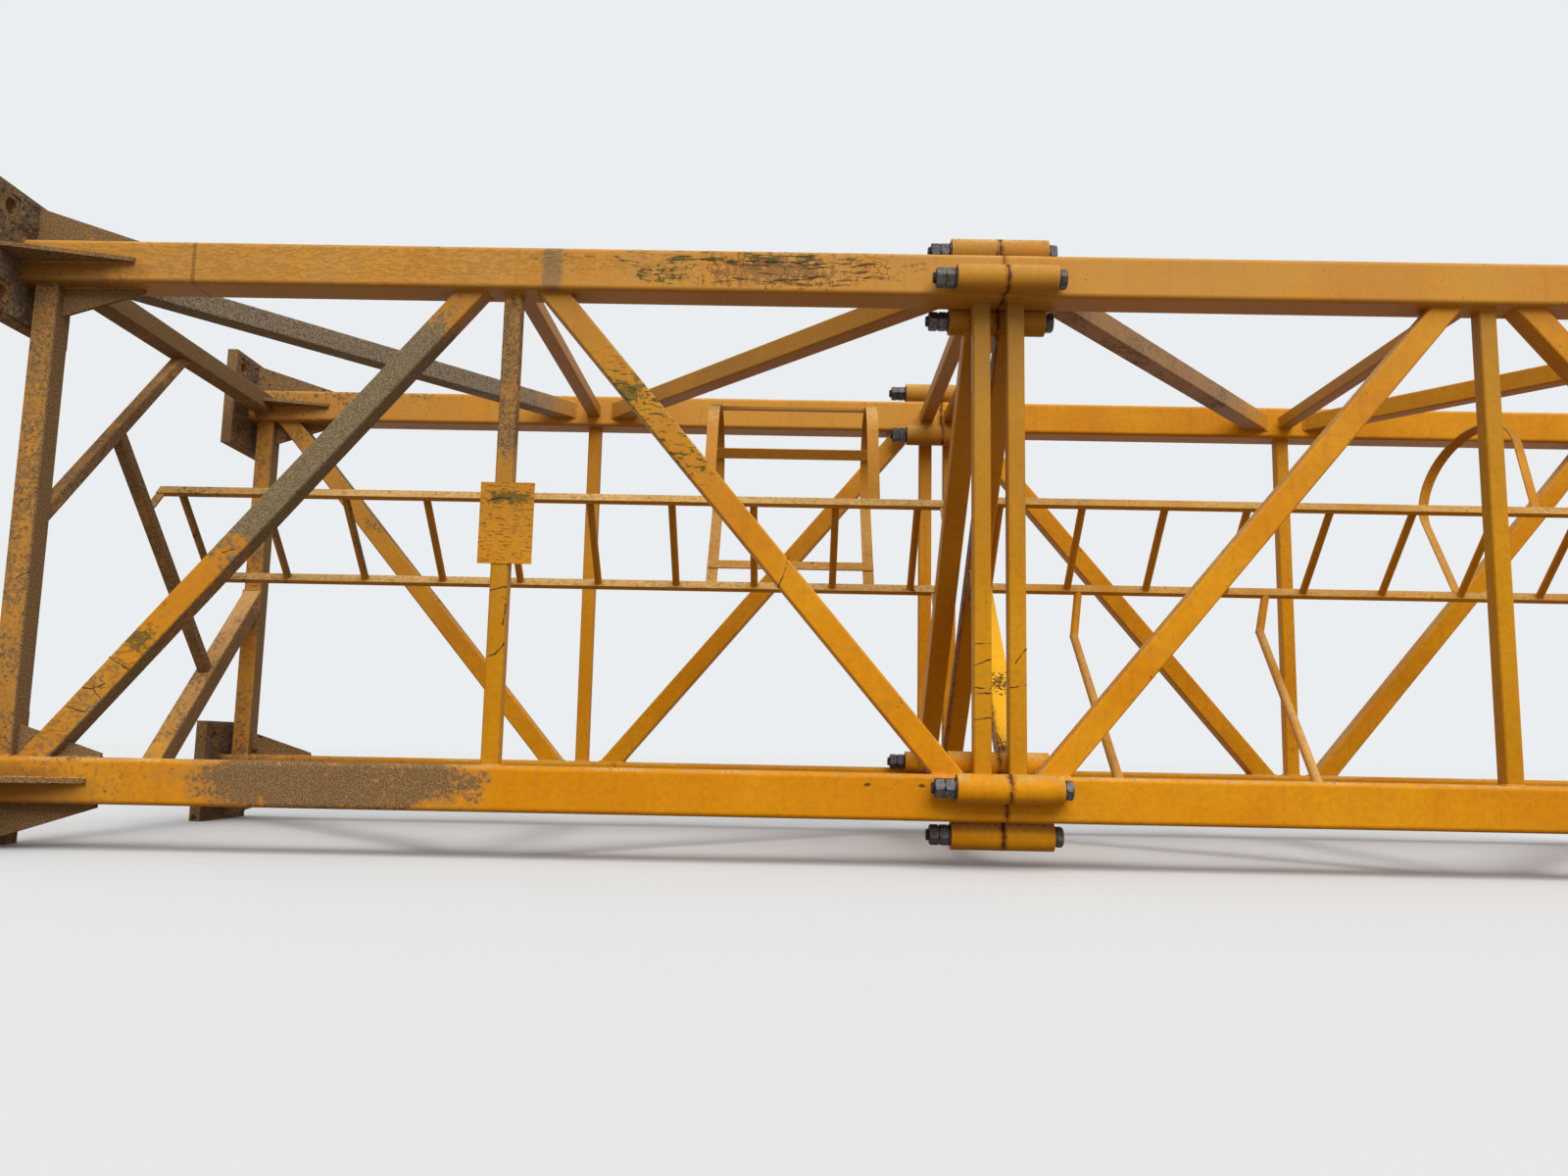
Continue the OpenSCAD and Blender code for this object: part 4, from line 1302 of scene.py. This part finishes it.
def own_paints() -> dict[str, Paint]:
    """Lists the members whose paint has marks, dirt, painted shadows or painted highlights of its own.

    Returns:
        The paint by the node's name.
    """
    grey, green, dark = rgb(92, 92, 82), rgb(62, 72, 34), rgb(74, 50, 30)
    ashen, bright, paler_film = rgb(122, 110, 94), rgb(226, 156, 18), rgb(180, 135, 72)
    dull = {"color": rgb(186, 124, 2), "light": rgb(198, 136, 10), "film": rgb(150, 114, 58),
            "film_amount": 0.9}
    return {
        "base_chord_front_top": Paint("paint of the front top chord", film=paler_film, soil_amount=0.16, spots=(
            # Painted shadow of the gusset on the chord's lower part by the foot
            Spot((-2.78, -0.8, 1.635), (0.42, 0.2, 0.07), dark, 0.55, 0.3, 12.0),
            Spot((-1.262, -0.8, 1.66), (0.036, 0.2, 0.2), grey, 0.55, 0.25),
            Spot((-2.292, -0.8, 1.64), (0.007, 0.2, 0.2), dark, 0.5, 0.2),
            Spot((-1.95, -0.8, 1.67), (1.2, 0.2, 0.08), dark, 0.17, 0.4, 18.0, Mark.SCRAPES, (40.0, 150.0, 150.0),
                 1.25),
            Spot((-0.625, -0.8, 1.672), (0.2, 0.2, 0.05), rgb(110, 74, 52), 0.6, 1.5, 45.0),
            Spot((-0.605, -0.8, 1.67), (0.5, 0.2, 0.07), dark, 0.9, 0.5, 14.0, Mark.CRACKLE),
            Spot((-0.605, -0.8, 1.67), (0.45, 0.2, 0.06), dark, 0.9, 0.5, 18.0, Mark.SCRAPES, (9.0, 90.0, 90.0), 1.0),
            Spot((-0.75, -0.8, 1.7), (0.55, 0.2, 0.035), green, 0.9, 0.6, 18.0, Mark.SCRAPES, (14.0, 90.0, 120.0), 1.1),
            Spot((-0.935, -0.8, 1.655), (0.09, 0.2, 0.04), green, 0.9, 0.9, 18.0, Mark.SCRAPES, (40.0, 60.0, 90.0),
                 1.1),
        )),
        "base_chord_front_bottom": Paint("paint of the front bottom chord", soil_amount=0.2, spots=(
            # Dirt by the foot, with the gusset's shadow painted in as well
            Spot((-2.78, -0.8, 0.165), (0.46, 0.2, 0.08), dark, 0.55, 0.3, 12.0),
            Spot((-1.78, -0.8, 0.215), (0.52, 0.2, 0.13), mark=Mark.MUD, strength=0.5, ragged=0.25),
            Spot((-0.199, -0.8, 0.222), (0.014, 0.05, 0.006), dark, 0.9, 0.5, 90.0),
            Spot((-0.346, -0.8, 0.222), (0.012, 0.05, 0.006), dark, 0.9, 0.5, 90.0),
        )),
        "base_chord_rear_top": Paint("paint of the rear top chord", film=paler_film, film_amount=0.6, spots=(
            Spot((-2.516, 0.675, 1.706), (0.012, 0.03, 0.012), dark, 0.95, 0.1, 90.0),
        )),
        "upper_chord_front_top": Paint("paint of the far front top chord", film=paler_film),
        "upper_chord_rear_top": Paint("paint of the far rear top chord", film_amount=0.12),
        "upper_rear_posts": Paint("paint of the far rear posts", film_amount=0.3),
        "upper_rear_diagonals": Paint("paint of the far rear diagonals", film_amount=0.2),
        "upper_front_diagonals": Paint("paint of the far front diagonals", film=paler_film, film_amount=0.45),
        "upper_chord_front_bottom": Paint("paint of the far front bottom chord", spots=(
            Spot((0.121, -0.8, 0.226), (0.012, 0.05, 0.005), dark, 0.9, 0.5, 90.0),
        )),
        "base_front_diagonals": Paint("paint of the base diagonals", soil=rgb(98, 86, 64),
                                      soil_pale=rgb(146, 130, 102), soil_amount=0.16, spots=(
            Spot((-0.95, -0.77, 1.24), (0.26, 0.2, 0.3), green, 0.9, 0.5, 18.0, Mark.SCRAPES, (34.0, 60.0, 150.0), 1.0),
            Spot((-1.035, -0.77, 1.31), (0.06, 0.2, 0.04), green, 0.7, 1.3, 60.0),
            Spot((-2.375, -0.77, 0.58), (0.055, 0.2, 0.035), green, 0.8, 1.1, 50.0),
            Spot((-1.76, -0.77, 1.30), (0.26, 0.2, 0.26), grey, 0.85, 0.35, 26.0),
            Spot((-1.86, -0.77, 1.20), (0.54, 0.2, 0.54), mark=Mark.MUD, strength=0.72, ragged=0.3, grain=26.0),
            Spot((-2.62, -0.77, 0.34), (0.34, 0.2, 0.4), mark=Mark.MUD, strength=0.12, ragged=0.5),
            Spot((-2.55, -0.77, 0.40), (0.4, 0.2, 0.4), dark, 0.5, 0.6, 18.0, Mark.SCRAPES, (30.0, 60.0, 90.0), 1.1),
            Spot((-2.45, -0.77, 0.48), (0.2, 0.2, 0.2), rgb(232, 176, 40), 0.6, 1.0, 18.0, Mark.SCRAPES,
                 (50.0, 50.0, 50.0), 0.7),
        )),
        "upper_front_posts": Paint("paint of the far front posts", **dull),
        "base_front_posts": Paint("paint of the base front posts", soil_amount=0.36, **dull, spots=(
            Spot((-1.38, -0.76, 1.36), (0.1, 0.3, 0.36), mark=Mark.MUD, strength=0.42, ragged=0.3),
            Spot((-2.78, -0.77, 0.575), (0.03, 0.2, 0.035), bright, 0.85, 0.9, 40.0),
            Spot((-2.78, -0.77, 0.744), (0.02, 0.2, 0.05), bright, 0.8, 0.9, 40.0),
            Spot((-2.72, -0.74, 0.95), (0.02, 0.2, 0.35), bright, 0.6, 1.4, 60.0),
        )),
        "base_rear_posts": Paint("paint of the base rear posts", film_amount=0.5),
        "base_rear_diagonals": Paint("paint of the base rear diagonals", film_amount=0.5),
        "base_top_diagonals": Paint("paint of the base top diagonals", wash=ashen, soil=rgb(84, 66, 50),
                                    soil_pale=rgb(158, 142, 118), spots=(
            Spot((-2.15, 0.0, 1.66), (0.8, 3.0, 3.0), ashen, 0.95, 0.12),
            Spot((-2.15, 0.0, 1.66), (0.8, 3.0, 3.0), mark=Mark.MUD, strength=0.35, ragged=0.12),
        )),
        "upper_top_diagonals": Paint("paint of the far top diagonals", film_amount=0.5, soil=rgb(92, 74, 56),
                                     soil_pale=rgb(160, 142, 118), spots=(
            Spot((0.5, 0.0, 1.66), (0.95, 1.6, 3.0), ashen, 0.85, 0.5, 60.0),
            Spot((0.5, 0.0, 1.66), (0.95, 1.4, 3.0), mark=Mark.MUD, strength=0.34, ragged=0.3),
        )),
        "base_top_struts": Paint("paint of the base top struts", soil_amount=0.42, mud=0.14),
        "base_ladder_rails": Paint("paint of the ladder rails", film=paler_film, dust_and_highlight_amount=0.75),
        "foot_knee_braces": Paint("paint of the knee braces", soil_amount=0.14, side_soil=0.3, spots=(
            Spot((-2.75, 0.4, 0.55), (0.5, 0.62, 0.62), rgb(196, 154, 100), 0.85, 0.2),
            Spot((-2.75, 0.1, 0.28), (0.3, 0.25, 0.25), rgb(206, 140, 34), 0.7, 0.5),
            Spot((-2.75, -0.4, 1.3), (0.5, 0.5, 0.5), rgb(138, 104, 76), 0.92, 0.2),
            Spot((-2.75, -0.4, 1.3), (0.5, 0.5, 0.5), mark=Mark.MUD, strength=0.26),
            Spot((-2.75, 0.4, 0.42), (0.5, 0.5, 0.5), mark=Mark.MUD, strength=0.16),
            Spot((-2.735, -0.36, 1.29), (0.04, 0.06, 0.03), bright, 0.8, 1.0, 50.0),
        )),
        "foot_tie": Paint("paint of the tie", wash=rgb(150, 112, 70), mud=0.16),
        "foot_front_top": Paint("paint of the front top foot", film_amount=0.6, **CAKED, spots=(
            Spot((-2.80, -0.56, 1.84), (0.06, 0.05, 0.04), bright, 0.8, 1.0, 60.0),
        )),
        "foot_rear_top": Paint("paint of the rear top foot", film_amount=0.6, **CAKED, spots=(
            Spot((-2.80, 0.56, 1.84), (0.06, 0.06, 0.05), bright, 0.9, 1.0, 60.0),
        )),
        "upper_end_braces": Paint("paint of the far braces", spots=(
            # Painted highlight: the half brace that faces the sky, brightened
            Spot((0.07, -0.4, 0.55), (0.3, 0.5, 0.5), rgb(250, 184, 32), 0.9, 0.05),
            Spot((0.075, -0.45, 0.525), (0.035, 0.045, 0.045), dark, 0.9, 2.2, 110.0),
            Spot((0.05, -0.655, 0.33), (0.03, 0.04, 0.04), dark, 0.8, 1.2, 60.0),
        )),
        "blank_plate": Paint("paint of the blank plate", film_amount=1.0, spots=(
            Spot((-1.365, -0.77, 1.0), (0.07, 0.2, 0.024), green, 0.75, 1.1, 40.0),
            Spot((-1.39, -0.77, 0.93), (0.3, 0.2, 0.3), rgb(112, 76, 36), 0.7, 0.1, 18.0, Mark.SCRAPES,
                 (48.0, 48.0, 200.0), 0.95),
        )),
    }


@dataclass
class Lattice:
    """The CAD's own nodes and the paint that each wears."""

    effects: Effects

    def build(self, nodes: dict[str, Thing], record: dict[str, Any]) -> Material:
        """Dresses every CAD node.

        Args:
            nodes: The CAD nodes by name.
            record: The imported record.

        Returns:
            The plain mast paint, for the pieces that this script adds.
        """
        mast = Paint("mast paint").build(self.effects)
        foot = Paint("foot paint", **CAKED)
        ladder = Paint("ladder paint", film_amount=0.75, dust_and_highlight_amount=0.62, dust=rgb(214, 170, 102))
        by_slot = {
            Slot.MAST.value: mast,
            Slot.FOOT.value: foot.build(self.effects),
            Slot.LADDER.value: ladder.build(self.effects),
            Slot.BOLT.value: mast,
        }
        own = {name: paint.build(self.effects) for name, paint in own_paints().items()}
        for part in record["subparts"]:
            for place in nodes[part["node"]].material_slots:
                place.material = own.get(part["node"], by_slot[part["material_slot"]])
        return mast


def main() -> None:
    """Builds the scene in order."""
    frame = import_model()
    Studio().build()
    effects, growers = Effects(), Growers()
    mast = Lattice(effects).build(frame["nodes"], frame["record"])
    steel = Coarse("bolt steel", rgb(52, 50, 50), rgb(104, 100, 100), 90.0, 0.55, 0.75, 0.0006,
                   rgb(96, 62, 40)).build(effects)
    soil = Coarse("caked soil", rgb(72, 54, 38), rgb(124, 100, 74), 70.0).build(effects)
    rust = Coarse("crack rust", rgb(48, 28, 18), rgb(82, 48, 28), 120.0).build(effects)
    Welds().build(growers, mast)
    Cracks().build(growers, rust)
    Joint().build(growers, steel)
    Soil(growers, soil, rust).build()


if __name__ == "__main__":
    main()
